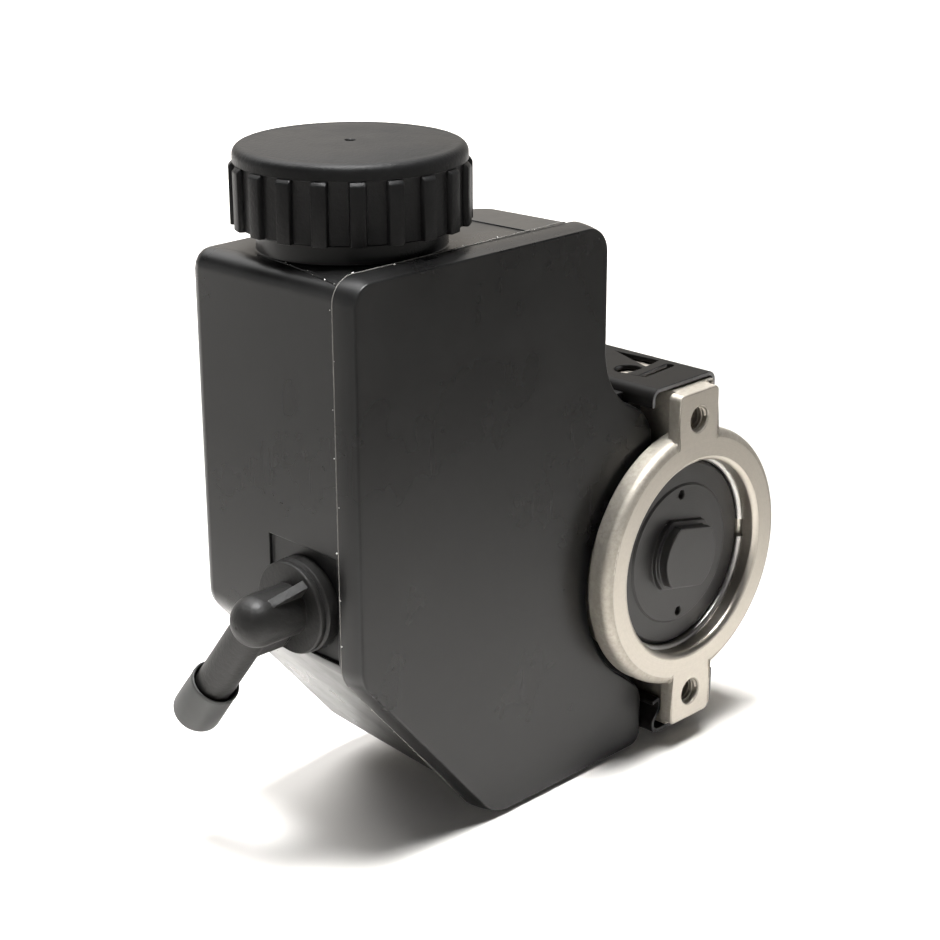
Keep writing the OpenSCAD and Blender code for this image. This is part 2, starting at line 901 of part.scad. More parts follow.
// Outline of the reservoir's box at share t of its depth, 0 at the lid and 1 at the far wall.
function box_outline(t) =
    let (left = box_left - t * side_draft,
         top = lid_top - rim_step - t * side_draft,
         low = lid_bottom - floor_step - t * floor_draft,
         step = (slope_step + t * floor_draft) * slope_len)
    rounded([
        [-left, top, box_corner],
        [-left, step - lid_knee - slope * (lid_left - left), 8],
        [(low - lid_knee + step) / slope - lid_left, -low, 10],
        [-box_right, -low, box_corner],
        [-box_right, top, box_corner]], 4);

// The box, drafted and with its far edges rounded, moved inwards all round by d.
module box_solid(d, y0, y1, edge_r) {
    share = (y1 - edge_r - rim_y) / box_depth;
    far = inset(box_outline(share), d);
    loft(concat(
        [at_depth(inset(box_outline(min(0, (y0 - rim_y) / box_depth)), d), y0)],
        [for (a = [0:30:90])
            at_depth(inset(far, edge_r * (1 - cos(a))), y1 - edge_r * (1 - sin(a)))]));
}

// Arms of the reservoir that reach round the pump body to the clips.
module saddle_outline() {
    fillet = 10;
    difference() {
        polygon(concat(
            [[-box_right - 2, arm_top + 0.9 * fillet]],
            [for (a = [186:21:270])
                [fillet * (1 + cos(a)) - box_right, arm_top + fillet * (1 + sin(a))]],
            [[-arm_face, arm_top], [-arm_face, -arm_low], [-box_right - 2, -arm_low]]));
        circle(saddle_r, $fn = 96);
    }
}

module saddle_core() {
    difference() {
        translate([-box_right - res_wall - 1, -arm_top + res_wall])
            square([box_right + res_wall + 1 - arm_core, 2 * (arm_top - res_wall)]);
        circle(saddle_r + arc_wall, $fn = 96);
    }
}

// Rail under one clip: the arm carries on to the joint face behind the screw boss.
module arm_rails() {
    for (s = [-1, 1])
        between(rail_start, saddle_end - 1)
            translate([-arm_face - 1, s > 0 ? body_r + 4 : -arm_low])
                square([arm_face + 1 - rail_face, (s > 0 ? arm_top : arm_low) - body_r - 4]);
}

// Room for the flange of each clip beside its rail.
module clip_room() {
    upper = upper_shift + clip_half;
    lower = clip_half - lower_shift;
    room_y = clip_y + clip_len + 0.6;
    between(rim_y - 1, room_y)
        translate([-upper - sheet_t / 2 - run_gap, clip_mid - upper_flange - 0.8])
            square([sheet_t + 2 * run_gap, upper_flange + 2]);
    between(rim_y - 1, room_y) {
        translate([-lower - sheet_t / 2 - run_gap, -lower_mid - 1])
            square([sheet_t + 2 * run_gap, lower_flange + 2]);
        translate([-lower - sheet_t / 2 - run_gap, -lower_mid + 3])
            square([clip_curl + 2, lower_flange - 2]);
    }
}

// Box, saddle and rails, hollow and open towards the lid.
module res_shell() {
    difference() {
        union() {
            box_solid(0, rim_y, box_back, box_round);
            between(rim_y, saddle_end)
                saddle_outline();
            arm_rails();
        }
        box_solid(res_wall, rim_y - 1, box_back - res_wall, 1.5);
        between(rim_y - 1, saddle_end - res_wall)
            saddle_core();
        clip_room();
    }
}

// Places a shape made along +Z on the axis of the supply passage, running right from x.
module on_supply(x) {
    translate([x, supply_y, 0])
        rotate([0, 90, 0])
            children();
}

// Cup in the saddle wall that takes the housing's supply pad.
module supply_cup() {
    cup_r = supply_pad_r + 0.6;
    difference() {
        union() {
            res_shell();
            difference() {
                on_supply(-supply_seat - res_wall)
                    cylinder(r = cup_r + res_wall, h = supply_seat + res_wall - saddle_r + 8);
                along_y(rim_y)
                    cylinder(r = saddle_r + res_wall / 4, h = box_depth, $fn = 96);
            }
        }
        on_supply(-supply_seat)
            cylinder(r = cup_r, h = supply_seat);
    }
}

// Spigot that feeds the pump, with its O-ring groove.
module supply_spigot() {
    on_supply(-supply_seat - 1)
        cylinder(r = spigot_r - seal_step, h = supply_seat + 1 - spigot_end);
    on_supply(-supply_seat - 1)
        cylinder(r = spigot_r, h = supply_seat - seal_x);
    on_supply(-seal_x + 1)
        cylinder(r = spigot_r, h = seal_x - 1 - spigot_end);
}

module reservoir_body() {
    color("black")
        difference() {
            union() {
                supply_cup();
                supply_spigot();
                translate([-cap_x, cap_y, lid_top - 3])
                    cylinder(r = neck_collar_r, h = collar_top - lid_top + 3);
                translate([-cap_x, cap_y, lid_top - 3])
                    cylinder(r = neck_r, h = neck_top - lid_top + 3);
            }
            translate([-cap_x, cap_y, lid_top - 20])
                cylinder(r = neck_r - neck_wall, h = 60);
            on_supply(-supply_seat - 10)
                cylinder(r = spigot_bore, h = 40);
            translate([pad_x - 10, elbow_y - pad_half.x, elbow_z - pad_half.y + 1])
                cube([10, 2 * pad_half.x, 2 * pad_half.y]);
            translate([-lid_left - 1, elbow_y, elbow_z])
                rotate([0, 90, 0])
                    cylinder(r = arm_r, h = 20);
        }
}

// Outline of the lid: a plate with two lobes that reach behind the flange to the clips.
function lid_outline() =
    let (arc_top = 180 - acos(lobe_upper / lid_arc_r),
         arc_low = 180 + acos(18 / lid_arc_r))
    rounded(concat(
        [[-lid_left, lid_top, 6],
         [-lid_left, -lid_knee, 9],
         [-lid_foot, -lid_bottom, 12],
         [-lobe_lower, -lid_bottom, 4.5],
         [-lobe_lower, -lid_arc_drop - lid_arc_r - 0.8, 8]],
        [for (i = [0:11])
            let (a = arc_low + (arc_top - arc_low) * i / 12)
            lid_arc_r * [cos(a), sin(a)] - [0, lid_arc_drop]],
        [[-lobe_upper, lid_arc_r * sin(arc_top) - lid_arc_drop + 1],
         [-lobe_upper, ear_z + 1.9, 11],
         [-lid_right, ear_z + 11.2, 18],
         [-lid_right, lid_top - 0.4, 7.5]]));

module reservoir_lid() {
    edge = lid_outline();
    color("black")
        difference() {
            loft(concat(
                [for (a = [0:30:90])
                    at_depth(inset(edge, lid_edge_r * (1 - sin(a))), lid_y + lid_edge_r * (1 - cos(a)))],
                [at_depth(edge, rim_y + 2)]));
            between(rim_y, rim_y + 4)
                translate([-2 * lid_left, -2 * lid_bottom])
                    square([2 * lid_left, 2 * (lid_bottom + lid_top)]);
            between(lid_y + lid_plate, rim_y + 4)
                difference() {
                    polygon(inset(edge, res_wall));
                    difference() {
                        union() {
                            polygon(box_outline(0));
                            saddle_outline();
                        }
                        polygon(inset(box_outline(0), res_wall));
                        saddle_core();
                    }
                }
        }
}

module filler_cap() {
    edge = 2.6;
    crown = 0.4;
    color("black")
        translate([-cap_x, cap_y, 0]) {
            rotate_extrude($fn = 96)
                difference() {
                    union() {
                        translate([0, skirt_z])
                            square([skirt_r, cap_h - crown - edge]);
                        translate([0, cap_top - crown - 2 * edge])
                            square([skirt_r - edge, 2 * edge]);
                        translate([skirt_r - edge, cap_top - crown - edge])
                            intersection() {
                                circle(edge);
                                square(edge);
                            }
                        polygon([[0, cap_roof], [skirt_r - edge - 1, cap_roof],
                            [skirt_r - edge - 1, cap_top - crown], [0, cap_top]]);
                    }
                    translate([-eps, skirt_z - 1])
                        square([cap_bore + eps, cap_roof - skirt_z + 1]);
                }
            for (i = [0:rib_count - 1])
                rotate((i + 0.5) * 360 / rib_count)
                    translate([0, 0, skirt_z])
                        linear_extrude(rib_top - skirt_z)
                            polygon([[skirt_r - 1, -rib_w / 2], [skirt_r + rib_h, -rib_w / 2 + 0.25],
                                [skirt_r + rib_h, rib_w / 2 - 0.25], [skirt_r - 1, rib_w / 2]]);
        }
}

module cap_seal() {
    color("dimgray")
        translate([-cap_x, cap_y, neck_top + 0.1])
            difference() {
                cylinder(r = neck_r + cap_seal_rim, h = cap_seal_t);
                translate([0, 0, -1])
                    cylinder(r = neck_r - neck_wall, h = cap_seal_t + 2);
            }
}

module cap_dipstick() {
    color("dimgray")
        translate([-cap_x, cap_y, 0]) {
            translate([0, 0, cap_roof - 2])
                cylinder(r = dipstick_head, h = 2);
            translate([0, 0, cap_roof - dipstick_len + blade_len - 1])
                cylinder(r = dipstick_r, h = dipstick_len - blade_len);
            translate([0, 0, cap_roof - dipstick_len])
                linear_extrude(blade_len)
                    difference() {
                        square([blade_w, blade_t], center = true);
                        for (s = [-1, 1])
                            translate([0, s * blade_t * 2 / 3])
                                square([blade_w / 2, blade_t * 2 / 3], center = true);
                    }
        }
}

// Places a shape in the frame of the elbow: origin at the bend, nipple along -Z.
module at_bend() {
    translate([bend_x, elbow_y, elbow_z])
        rotate([nipple_lean, 0, 0])
            children();
}

module return_elbow() {
    root = 4;
    color("black")
        at_bend()
            difference() {
                union() {
                    translate([arm_len, 0, 0])
                        rotate([0, 90, 0])
                            rotate_extrude()
                                polygon([[0, 0], [collar_r - 0.5, 0], [collar_r - 0.2, 0.4], [collar_r - 0.2, 1.6],
                                    [collar_r - 0.8, 1.9], [collar_r, 2.6], [collar_r, collar_len - fit_gap],
                                    [arm_r - 0.2, collar_len - fit_gap],
                                    [arm_r - 0.2, collar_len + root], [0, collar_len + root]]);
                    rotate([0, 90, 0])
                        rotate_extrude()
                            union() {
                                square([arm_r, arm_len + 1]);
                                intersection() {
                                    circle(arm_r);
                                    translate([0, -arm_r])
                                        square([arm_r, arm_r + eps]);
                                }
                            }
                    translate([0, 0, -nipple_len])
                        cylinder(r = nipple_r, h = nipple_len);
                    translate([0, -nipple_r + 0.3, -web_reach])
                        cube([arm_len + 1, 2 * nipple_r - 0.6, web_reach]);
                    translate([0, gusset_t / 2, 0])
                        rotate([90, 0, 0])
                            linear_extrude(gusset_t)
                                polygon([[0, arm_r - 1], [1.5, arm_r + 0.3],
                                    [arm_len + 1, collar_r - 0.9], [arm_len + 1, 0]]);
                }
                translate([-passage_r, 0, 0])
                    rotate([0, 90, 0])
                        cylinder(r = passage_r, h = passage_r + arm_len + collar_len + root + 1);
                translate([0, 0, -nipple_len - 1])
                    cylinder(r = passage_r - 0.1, h = nipple_len + 1);
            }
}

module dust_cap() {
    mouth_r = nipple_r + fit_gap + dust_wall;
    color("gray")
        at_bend()
            translate([0, 0, -dust_at])
                difference() {
                    rotate([180, 0, 0])
                        rotate_extrude()
                            polygon([[0, 0], [mouth_r - 0.2, 0], [mouth_r, 0.3], [mouth_r + 0.4, dust_len - 2.4],
                                [mouth_r + 0.2, dust_len - 1.2], [mouth_r - 0.8, dust_len - 0.3],
                                [mouth_r - 2, dust_len], [0, dust_len]]);
                    translate([0, 0, -(nipple_len - dust_at) - fit_gap])
                        cylinder(r = nipple_r + fit_gap, h = nipple_len);
                }
}

// A clip's web with its cut-outs, flat in x, y.
module clip_windows() {
    translate([0, 10.1])
        polygon(rounded([[-4.9, -1.2, 0.9], [8.5, -0.2, 1.2], [8.5, 2.4, 1.2], [-4.9, 1.0, 0.9]]));
    translate([0, 14.8])
        polygon([[2.4, 0], [8.8, 1], [7.6, 14.5]]);
    translate([-2.6, 16.4])
        intersection() {
            circle(3.7);
            translate([-4, -1.9])
                square([8, 6]);
        }
}

module upper_clip() {
    path = bent([
        [-clip_half, clip_mid - upper_flange],
        [-clip_half, clip_mid, clip_bend],
        [clip_half, clip_mid, clip_bend],
        [clip_half, clip_mid - upper_flange]]);
    color("dimgray")
        translate([-upper_shift, 0, 0])
            difference() {
                between(clip_y, clip_y + clip_len)
                    polygon(strip(path, sheet_t));
                translate([0, clip_y, clip_inside - 1])
                    linear_extrude(sheet_t + 2)
                        clip_windows();
            }
}

// The lower clip's left flange waists in over the head of the rail and curls out at its end.
module lower_clip() {
    path = bent([
        [-clip_half - 0.4, lower_flange - 0.4],
        [-clip_half + clip_curl - 0.2, lower_flange + 0.2, 0.8],
        [-clip_half + clip_curl, lower_flange - clip_curl, 1.5],
        [-clip_half, 3, 1.5],
        [-clip_half, 0, clip_bend],
        [clip_half, 0, clip_bend],
        [clip_half, hook_flange]]);
    color("dimgray")
        translate([lower_shift, 0, -lower_mid])
            between(clip_y, clip_y + clip_len)
                polygon(strip(path, sheet_t));
}

pump_housing();
end_cover();
end_cover_seal();
retaining_ring();
pressure_plate();
pressure_plate_seal();
pressure_plate_spring();
cam_ring();
rotor();
rotor_clip();
thrust_plate();
dowel_pins();
drive_shaft();
shaft_bush();
shaft_seal();
flow_valve_spool();
flow_valve_spring();
outlet_fitting();
outlet_seal();
supply_seal();
reservoir_body();
reservoir_lid();
filler_cap();
cap_seal();
cap_dipstick();
return_elbow();
dust_cap();
upper_clip();
lower_clip();
for (i = [1:vane_count])
    vane(i);
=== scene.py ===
import json
import math

import bmesh
import bpy
from bpy.props import FloatProperty, FloatVectorProperty, IntProperty, PointerProperty
from mathutils import Matrix, Vector
from mathutils.bvhtree import BVHTree


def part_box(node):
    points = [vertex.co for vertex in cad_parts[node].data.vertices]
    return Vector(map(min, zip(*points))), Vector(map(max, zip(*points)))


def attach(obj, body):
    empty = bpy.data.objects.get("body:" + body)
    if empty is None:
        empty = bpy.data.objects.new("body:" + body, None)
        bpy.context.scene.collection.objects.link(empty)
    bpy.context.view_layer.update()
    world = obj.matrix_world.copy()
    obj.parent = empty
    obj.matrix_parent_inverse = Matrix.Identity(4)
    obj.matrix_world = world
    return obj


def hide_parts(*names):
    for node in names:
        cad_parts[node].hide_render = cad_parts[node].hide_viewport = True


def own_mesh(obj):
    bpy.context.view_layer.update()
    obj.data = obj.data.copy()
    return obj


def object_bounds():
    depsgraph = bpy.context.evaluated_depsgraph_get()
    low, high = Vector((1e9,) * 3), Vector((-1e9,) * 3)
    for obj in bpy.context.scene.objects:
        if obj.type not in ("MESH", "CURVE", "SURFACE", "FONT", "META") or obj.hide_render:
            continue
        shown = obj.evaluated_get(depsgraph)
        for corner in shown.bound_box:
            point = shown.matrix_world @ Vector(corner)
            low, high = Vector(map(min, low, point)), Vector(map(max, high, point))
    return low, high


bl_info = {
    "name": "Power steering pump",
    "version": (1, 0, 0),
    "blender": (4, 5, 0),
    "location": "View3D > Sidebar > Pump",
    "description": "Dresses the packed power steering pump with its finishes and fine shapes",
    "category": "Object",
}

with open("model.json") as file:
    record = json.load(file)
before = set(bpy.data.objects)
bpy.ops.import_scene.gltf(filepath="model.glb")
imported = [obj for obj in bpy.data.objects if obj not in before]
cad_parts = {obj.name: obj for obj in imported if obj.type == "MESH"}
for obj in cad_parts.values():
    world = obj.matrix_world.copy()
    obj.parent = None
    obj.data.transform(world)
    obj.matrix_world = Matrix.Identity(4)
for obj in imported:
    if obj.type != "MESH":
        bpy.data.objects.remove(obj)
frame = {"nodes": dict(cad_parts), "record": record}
CAD_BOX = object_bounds()
NODES = frame["nodes"]
MM = 0.001

# Points nearer than these, in metres, are one: in the meshes made here and in those of the CAD
SAME_POINT = 1e-7
CAD_SAME_POINT = 2e-6
# CAD faces that turn by less than this, in degrees, are one
CAD_FLAT_TURN = 0.4
# Steps of each rounded corner of the lid's outline
LID_CORNER_STEPS = 14


def low(node):
    """Lowest corner of a node, in millimetres."""
    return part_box(node)[0] / MM


def high(node):
    """Highest corner of a node, in millimetres."""
    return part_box(node)[1] / MM


def length(name, words, millimetres):
    """A length that a user may change, held in metres."""
    return FloatProperty(name=name, description=words, default=millimetres * MM, unit="LENGTH", precision=5)


def colour(name, words, value):
    """A colour that a user may change."""
    return FloatVectorProperty(
        name=name, description=words, default=value, subtype="COLOR", size=3, min=0, max=1)


def whole(name, words, value, least=0):
    """A whole number that a user may change."""
    return IntProperty(name=name, description=words, default=value, min=least)


def power(name, words, watts):
    """A lamp's power that a user may change."""
    return FloatProperty(name=name, description=words, default=watts, min=0, unit="POWER")


def strength(name, words, value):
    """A strength of even light that a user may change."""
    return FloatProperty(name=name, description=words, default=value, min=0)


class ReservoirSettings(bpy.types.PropertyGroup):
    lid_edge: length("Lid edge", "Rounding of the lid's outer edge", 0.55)
    lid_draft: length("Lid draft", "How far the lid's side leans in towards its face", 0.8)
    lid_plate: length("Lid plate", "Thickness of the lid's plate", 3.0)
    seam_edge: length("Moulded edge", "Rounding of the moulding's small edges", 0.35)
    black: colour("Moulding", "Colour of the black moulding", (0.0048, 0.0048, 0.0048))
    bead: length("Parting bead", "Radius of the bead that the mould leaves", 0.2)
    flash: colour("Flash", "Colour of the specks of pale flash", (0.55, 0.54, 0.52))
    # Pale grey painted on the weld bead: a painted highlight along the seam
    scuff_and_seam_highlight: colour("Seam", "Colour of the highlight_painted bead along the weld", (0.15, 0.145, 0.135))
    flash_count: whole("Flash specks", "Specks of flash along each seam", 12)
    flash_seed: whole("Flash seed", "Start of the specks' random places", 7)


class CapSettings(bpy.types.PropertyGroup):
    rib_count: whole("Ribs", "Number of grip ribs", 20, 3)
    rib_width: length("Rib width", "Width of one grip rib", 4.1)
    band: length("Band", "Height of the plain band over the ribs", 4.1)
    edge: length("Top edge", "Rounding of the cap's top edge", 2.2)
    black: colour("Cap", "Colour of the filler cap", (0.0045, 0.0045, 0.0046))


class MetalSettings(bpy.types.PropertyGroup):
    aluminium: colour("Aluminium", "Colour of the cast housing", (0.46, 0.428, 0.376))
    steel: colour("Steel", "Colour of ground steel", (0.56, 0.56, 0.57))
    wire: colour("Wire", "Colour of drawn wire", (0.52, 0.51, 0.49))
    plated: colour("Plating", "Colour of the zinc plated fitting", (0.66, 0.63, 0.55))
    bronze: colour("Bronze", "Colour of the shaft's bush", (0.60, 0.41, 0.21))
    coated: colour("Black coat", "Colour of the coated cover and clips", (0.013, 0.0122, 0.0115))
    cast_edge: length("Cast edge", "Rounding of the housing's edges", 0.45)
    clip_edge: length("Sheet edge", "Rounding of the clips' edges", 0.22)


class ConnectionSettings(bpy.types.PropertyGroup):
    black: colour("Connection", "Colour of the return connection", (0.0085, 0.0082, 0.0078))
    grey: colour("Dust cap", "Colour of the soft dust cap", (0.029, 0.030, 0.0295))
    rubber: colour("Rubber", "Colour of the sealing rings", (0.011, 0.011, 0.011))
    lip: length("Dust cap lip", "Flare of the dust cap's mouth", 0.55)


class StageSettings(bpy.types.PropertyGroup):
    floor: colour("Floor", "Colour of the plain floor", (0.92, 0.895, 0.862))
    near: power("Near light", "Power of the light over the part", 1.2)
    back: power("Back light", "Power of the light behind", 35.0)
    strip: power("Strip light", "Power of the strip behind", 0.35)
    fill: power("Floor light", "Power of the light on the floor", 0.8)
    surround: strength("Surround", "Strength of the pale surround far away", 0.62)
    horizon: strength("Horizon", "Strength of the even light behind", 0.8)


# Outlines and solids, in millimetres

def unit(a, b):
    """Direction from a to b."""
    return (b - a).normalized()


def arc_corner(a, b, c, r, steps):
    """Points of the arc of radius r that rounds corner b of the path a, b, c."""
    u, v = unit(b, a), unit(b, c)
    half = math.acos(max(-1.0, min(1.0, u.dot(v)))) / 2
    middle = b + (u + v).normalized() * (r / math.sin(half))
    first = b + u * (r / math.tan(half)) - middle
    last = b + v * (r / math.tan(half)) - middle
    start = math.atan2(first.y, first.x)
    sweep = (math.atan2(last.y, last.x) - start + math.pi) % math.tau - math.pi
    angles = [start + sweep * i / steps for i in range(steps + 1)]
    return [middle + Vector((math.cos(t), math.sin(t))) * r for t in angles]


def rounded(corners, steps=10):
    """Closed outline from (x, y) corners and (x, y, radius) rounded ones."""
    flat = [Vector(p[:2]) for p in corners]
    points = []
    for i, p in enumerate(corners):
        if len(p) == 2:
            points.append(flat[i])
        else:
            points += arc_corner(flat[i - 1], flat[i], flat[(i + 1) % len(flat)], p[2], steps)
    return points


def inset(points, distance):
    """Closed outline, drawn anticlockwise, moved inwards."""
    moved = []
    for i, p in enumerate(points):
        before, after = unit(points[i - 1], p), unit(p, points[(i + 1) % len(points)])
        m, n = Vector((-before.y, before.x)), Vector((-after.y, after.x))
        moved.append(p + (m + n) * (distance / (1 + m.dot(n))))
    return moved


def at_depth(points, y):
    """An x, z outline set at depth y."""
    return [Vector((p.x, y, p.y)) for p in points]


def link(name, data):
    """A new object in the scene that holds a mesh, a lamp or a camera."""
    obj = bpy.data.objects.new(name, data)
    bpy.context.scene.collection.objects.link(obj)
    return obj


def solid(name, points, faces):
    """A closed mesh from points in millimetres, its faces turned outwards."""
    mesh = bpy.data.meshes.new(name)
    mesh.from_pydata([p * MM for p in points], [], faces)
    shape = bmesh.new()
    shape.from_mesh(mesh)
    bmesh.ops.remove_doubles(shape, verts=shape.verts, dist=SAME_POINT)
    bmesh.ops.recalc_face_normals(shape, faces=shape.faces)
    shape.to_mesh(mesh)
    shape.free()
    return link(name, mesh)


def loft(name, rings, closed=False):
    """Solid through rings with the same number of points: capped, or closed on itself."""
    n = len(rings[0])
    count = len(rings)
    points = [p for ring in rings for p in ring]
    faces = []
    for j in range(count if closed else count - 1):
        a, b = j * n, (j + 1) % count * n
        faces += [(a + i, a + (i + 1) % n, b + (i + 1) % n, b + i) for i in range(n)]
    if not closed:
        faces += [tuple(range(n)), tuple(range((count - 1) * n, count * n))]
    return solid(name, points, faces)


def lathe(name, profile, place, steps):
    """Solid of revolution about the place's Z axis, from a closed (radius, height) profile."""
    rings = []
    for k in range(steps):
        turn = math.tau * k / steps
        c, s = math.cos(turn), math.sin(turn)
        rings.append([place @ Vector((r * c, r * s, h)) for r, h in profile])
    obj = loft(name, rings, closed=True)
    shape = bmesh.new()
    shape.from_mesh(obj.data)
    bmesh.ops.dissolve_degenerate(shape, edges=shape.edges, dist=SAME_POINT)
    bmesh.ops.recalc_face_normals(shape, faces=shape.faces)
    shape.to_mesh(obj.data)
    shape.free()
    return obj


def quarter(cx, cy, r, steps=6):
    """Quarter circle of a profile, from its outer side to its top."""
    turns = [math.radians(90 * i / steps) for i in range(steps + 1)]
    return [(cx + r * math.cos(t), cy + r * math.sin(t)) for t in turns]


def plain(obj):
    """Turns an object with modifiers into a plain mesh."""
    graph = bpy.context.evaluated_depsgraph_get()
    mesh = bpy.data.meshes.new_from_object(obj.evaluated_get(graph))
    obj.modifiers.clear()
    spent = obj.data
    obj.data = mesh
    bpy.data.meshes.remove(spent)
    return obj


def join(name, objects):
    """One object from several, keeping their meshes as they stand."""
    shape = bmesh.new()
    for obj in objects:
        shape.from_mesh(obj.data)
    mesh = bpy.data.meshes.new(name)
    shape.to_mesh(mesh)
    shape.free()
    for obj in objects:
        bpy.data.objects.remove(obj)
    return link(name, mesh)


def soft_edges(obj, width, angle=38, flat=True):
    """Rounds the edges that turn by more than the angle, and keeps the flat faces flat.

    Points that a bevel throws farther than its width come back to the surface.
    """
    mesh = obj.data
    surface = BVHTree.FromPolygons(
        [v.co.copy() for v in mesh.vertices], [p.vertices[:] for p in mesh.polygons])
    mesh.shade_smooth()
    edges = obj.modifiers.new("edges", "BEVEL")
    edges.width = width
    edges.segments = 2
    edges.limit_method = "ANGLE"
    edges.angle_limit = math.radians(angle)
    edges.use_clamp_overlap = False
    if flat:
        obj.modifiers.new("normals", "WEIGHTED_NORMAL").weight = 100
    plain(obj)
    for vertex in obj.data.vertices:
        near, _, _, away = surface.find_nearest(vertex.co)
        if away > width:
            vertex.co = near
    return obj


def copy_of(node, name):
    """A copy of a CAD node's mesh with its triangles joined into whole faces."""
    shape = bmesh.new()
    shape.from_mesh(NODES[node].data)
    bmesh.ops.remove_doubles(shape, verts=shape.verts, dist=CAD_SAME_POINT)
    bmesh.ops.dissolve_limit(
        shape, angle_limit=math.radians(CAD_FLAT_TURN), verts=shape.verts, edges=shape.edges)
    mesh = bpy.data.meshes.new(name)
    shape.to_mesh(mesh)
    shape.free()
    return link(name, mesh)


def settle(obj, body, material, nodes=(), sharp=40):
    """Gives a piece its finish and its place in the frame."""
    obj.data.materials.clear()
    obj.data.materials.append(material)
    if not obj.data.has_custom_normals:
        obj.data.shade_smooth()
        obj.data.set_sharp_from_angle(angle=math.radians(sharp))
    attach(obj, body)
    if nodes:
        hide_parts(*nodes)
    return obj


def finish_node(node, material):
    """Gives a CAD node a finish and leaves its shape alone."""
    mesh = NODES[node].data
    mesh.materials.clear()
    mesh.materials.append(material)


# Node trees

NUMBER = "NodeSocketFloat"
WHOLE = "NodeSocketInt"
VECTOR = "NodeSocketVector"
SHAPE = "NodeSocketGeometry"


class Tree:
    """Adds nodes to a tree, linking sockets and setting plain values."""

    def __init__(self, tree):
        self.tree = tree

    def add(self, kind, inputs=None, **settings):
        """A new node; its inputs are sockets to link or values to set."""
        node = self.tree.nodes.new(kind)
        for key, value in settings.items():
            setattr(node, key, value)
        for key, value in (inputs or {}).items():
            if isinstance(value, bpy.types.NodeSocket):
                self.tree.links.new(value, node.inputs[key])
            else:
                node.inputs[key].default_value = value
        return node

    def give(self, node, values):
        """Links values to a node that ends the tree."""
        for label, value in values.items():
            self.tree.links.new(value, node.inputs[label])

    def math(self, operation, a, b=0.0, clamp=False):
        """Result of one sum."""
        return self.add("ShaderNodeMath", {0: a, 1: b}, operation=operation, use_clamp=clamp).outputs[0]

    def vector(self, operation, inputs):
        """Outputs of one vector sum."""
        return self.add("ShaderNodeVectorMath", inputs, operation=operation).outputs

    def blend(self, factor, a, b):
        """Number between a and b."""
        return self.add("ShaderNodeMix", {0: factor, 2: a, 3: b}, data_type="FLOAT").outputs[0]

    def tint(self, factor, a, b):
        """Colour between a and b."""
        return self.add("ShaderNodeMix", {0: factor, 6: a, 7: b}, data_type="RGBA").outputs[2]

    def spread(self, value, low, high, to_low=0.0, to_high=1.0):
        """Maps a value from one range to another, clamped."""
        return self.add("ShaderNodeMapRange", {0: value, 1: low, 2: high, 3: to_low, 4: to_high}).outputs[0]

    def noise(self, vector, scale, detail, rough):
        """Soft random value at a place."""
        inputs = {"Vector": vector, "Scale": scale, "Detail": detail, "Roughness": rough}
        return self.add("ShaderNodeTexNoise", inputs).outputs[0]

    def place(self):
        """Point on the surface, in the piece's own frame."""
        return self.add("ShaderNodeTexCoord").outputs["Object"]

    def facing(self):
        """How far the true normal points along Y."""
        normal = self.add("ShaderNodeNewGeometry").outputs["True Normal"]
        return self.add("ShaderNodeSeparateXYZ", {0: normal}).outputs[1]

    def bump(self, share, distance, height, normal=None):
        """Normal bent by a height, with the distance in metres."""
        inputs = {"Strength": share, "Distance": distance, "Height": height}
        if normal is not None:
            inputs["Normal"] = normal
        return self.add("ShaderNodeBump", inputs).outputs[0]

    def paint(self, inputs):
        """Ends a material with a Principled shader."""
        shader = self.add("ShaderNodeBsdfPrincipled", inputs)
        self.give(self.add("ShaderNodeOutputMaterial"), {"Surface": shader.outputs[0]})

    def strayed(self, shape, seed, limit, scale):
        """Points of a shape moved at random, up to the limit times the scale on each axis."""
        least = [-c for c in limit]
        stray = self.add("FunctionNodeRandomValue", {0: least, 1: limit, "Seed": seed}, data_type="FLOAT_VECTOR")
        shift = self.vector("SCALE", {0: stray.outputs[0], "Scale": scale})[0]
        return self.add("GeometryNodeSetPosition", {"Geometry": shape, "Offset": shift}).outputs[0]

    def realised(self, start, end, shape):
        """Ends a geometry tree: copies made real, then the finish that the tree is given."""
        real = self.add("GeometryNodeRealizeInstances", {0: shape})
        painted = self.add("GeometryNodeSetMaterial", {
            "Geometry": real.outputs[0], "Material": start.outputs["Finish"]})
        self.give(end, {0: painted.outputs[0]})


def group(name, inputs, outputs, kind="ShaderNodeTree"):
    """An empty node group with its sockets, and its two end nodes."""
    tree = bpy.data.node_groups.new(name, kind)
    for label, socket, value in inputs:
        made = tree.interface.new_socket(label, in_out="INPUT", socket_type=socket)
        if value is not None:
            made.default_value = value
    for label, socket in outputs:
        tree.interface.new_socket(label, in_out="OUTPUT", socket_type=socket)
    return tree, tree.nodes.new("NodeGroupInput"), tree.nodes.new("NodeGroupOutput")


def shape_group(name, inputs):
    """An empty geometry node group: a shape and a finish go in, a shape comes out."""
    ends = [("Geometry", SHAPE, None)], [("Finish", "NodeSocketMaterial", None)]
    return group(name, ends[0] + inputs + ends[1], [("Geometry", SHAPE)], "GeometryNodeTree")


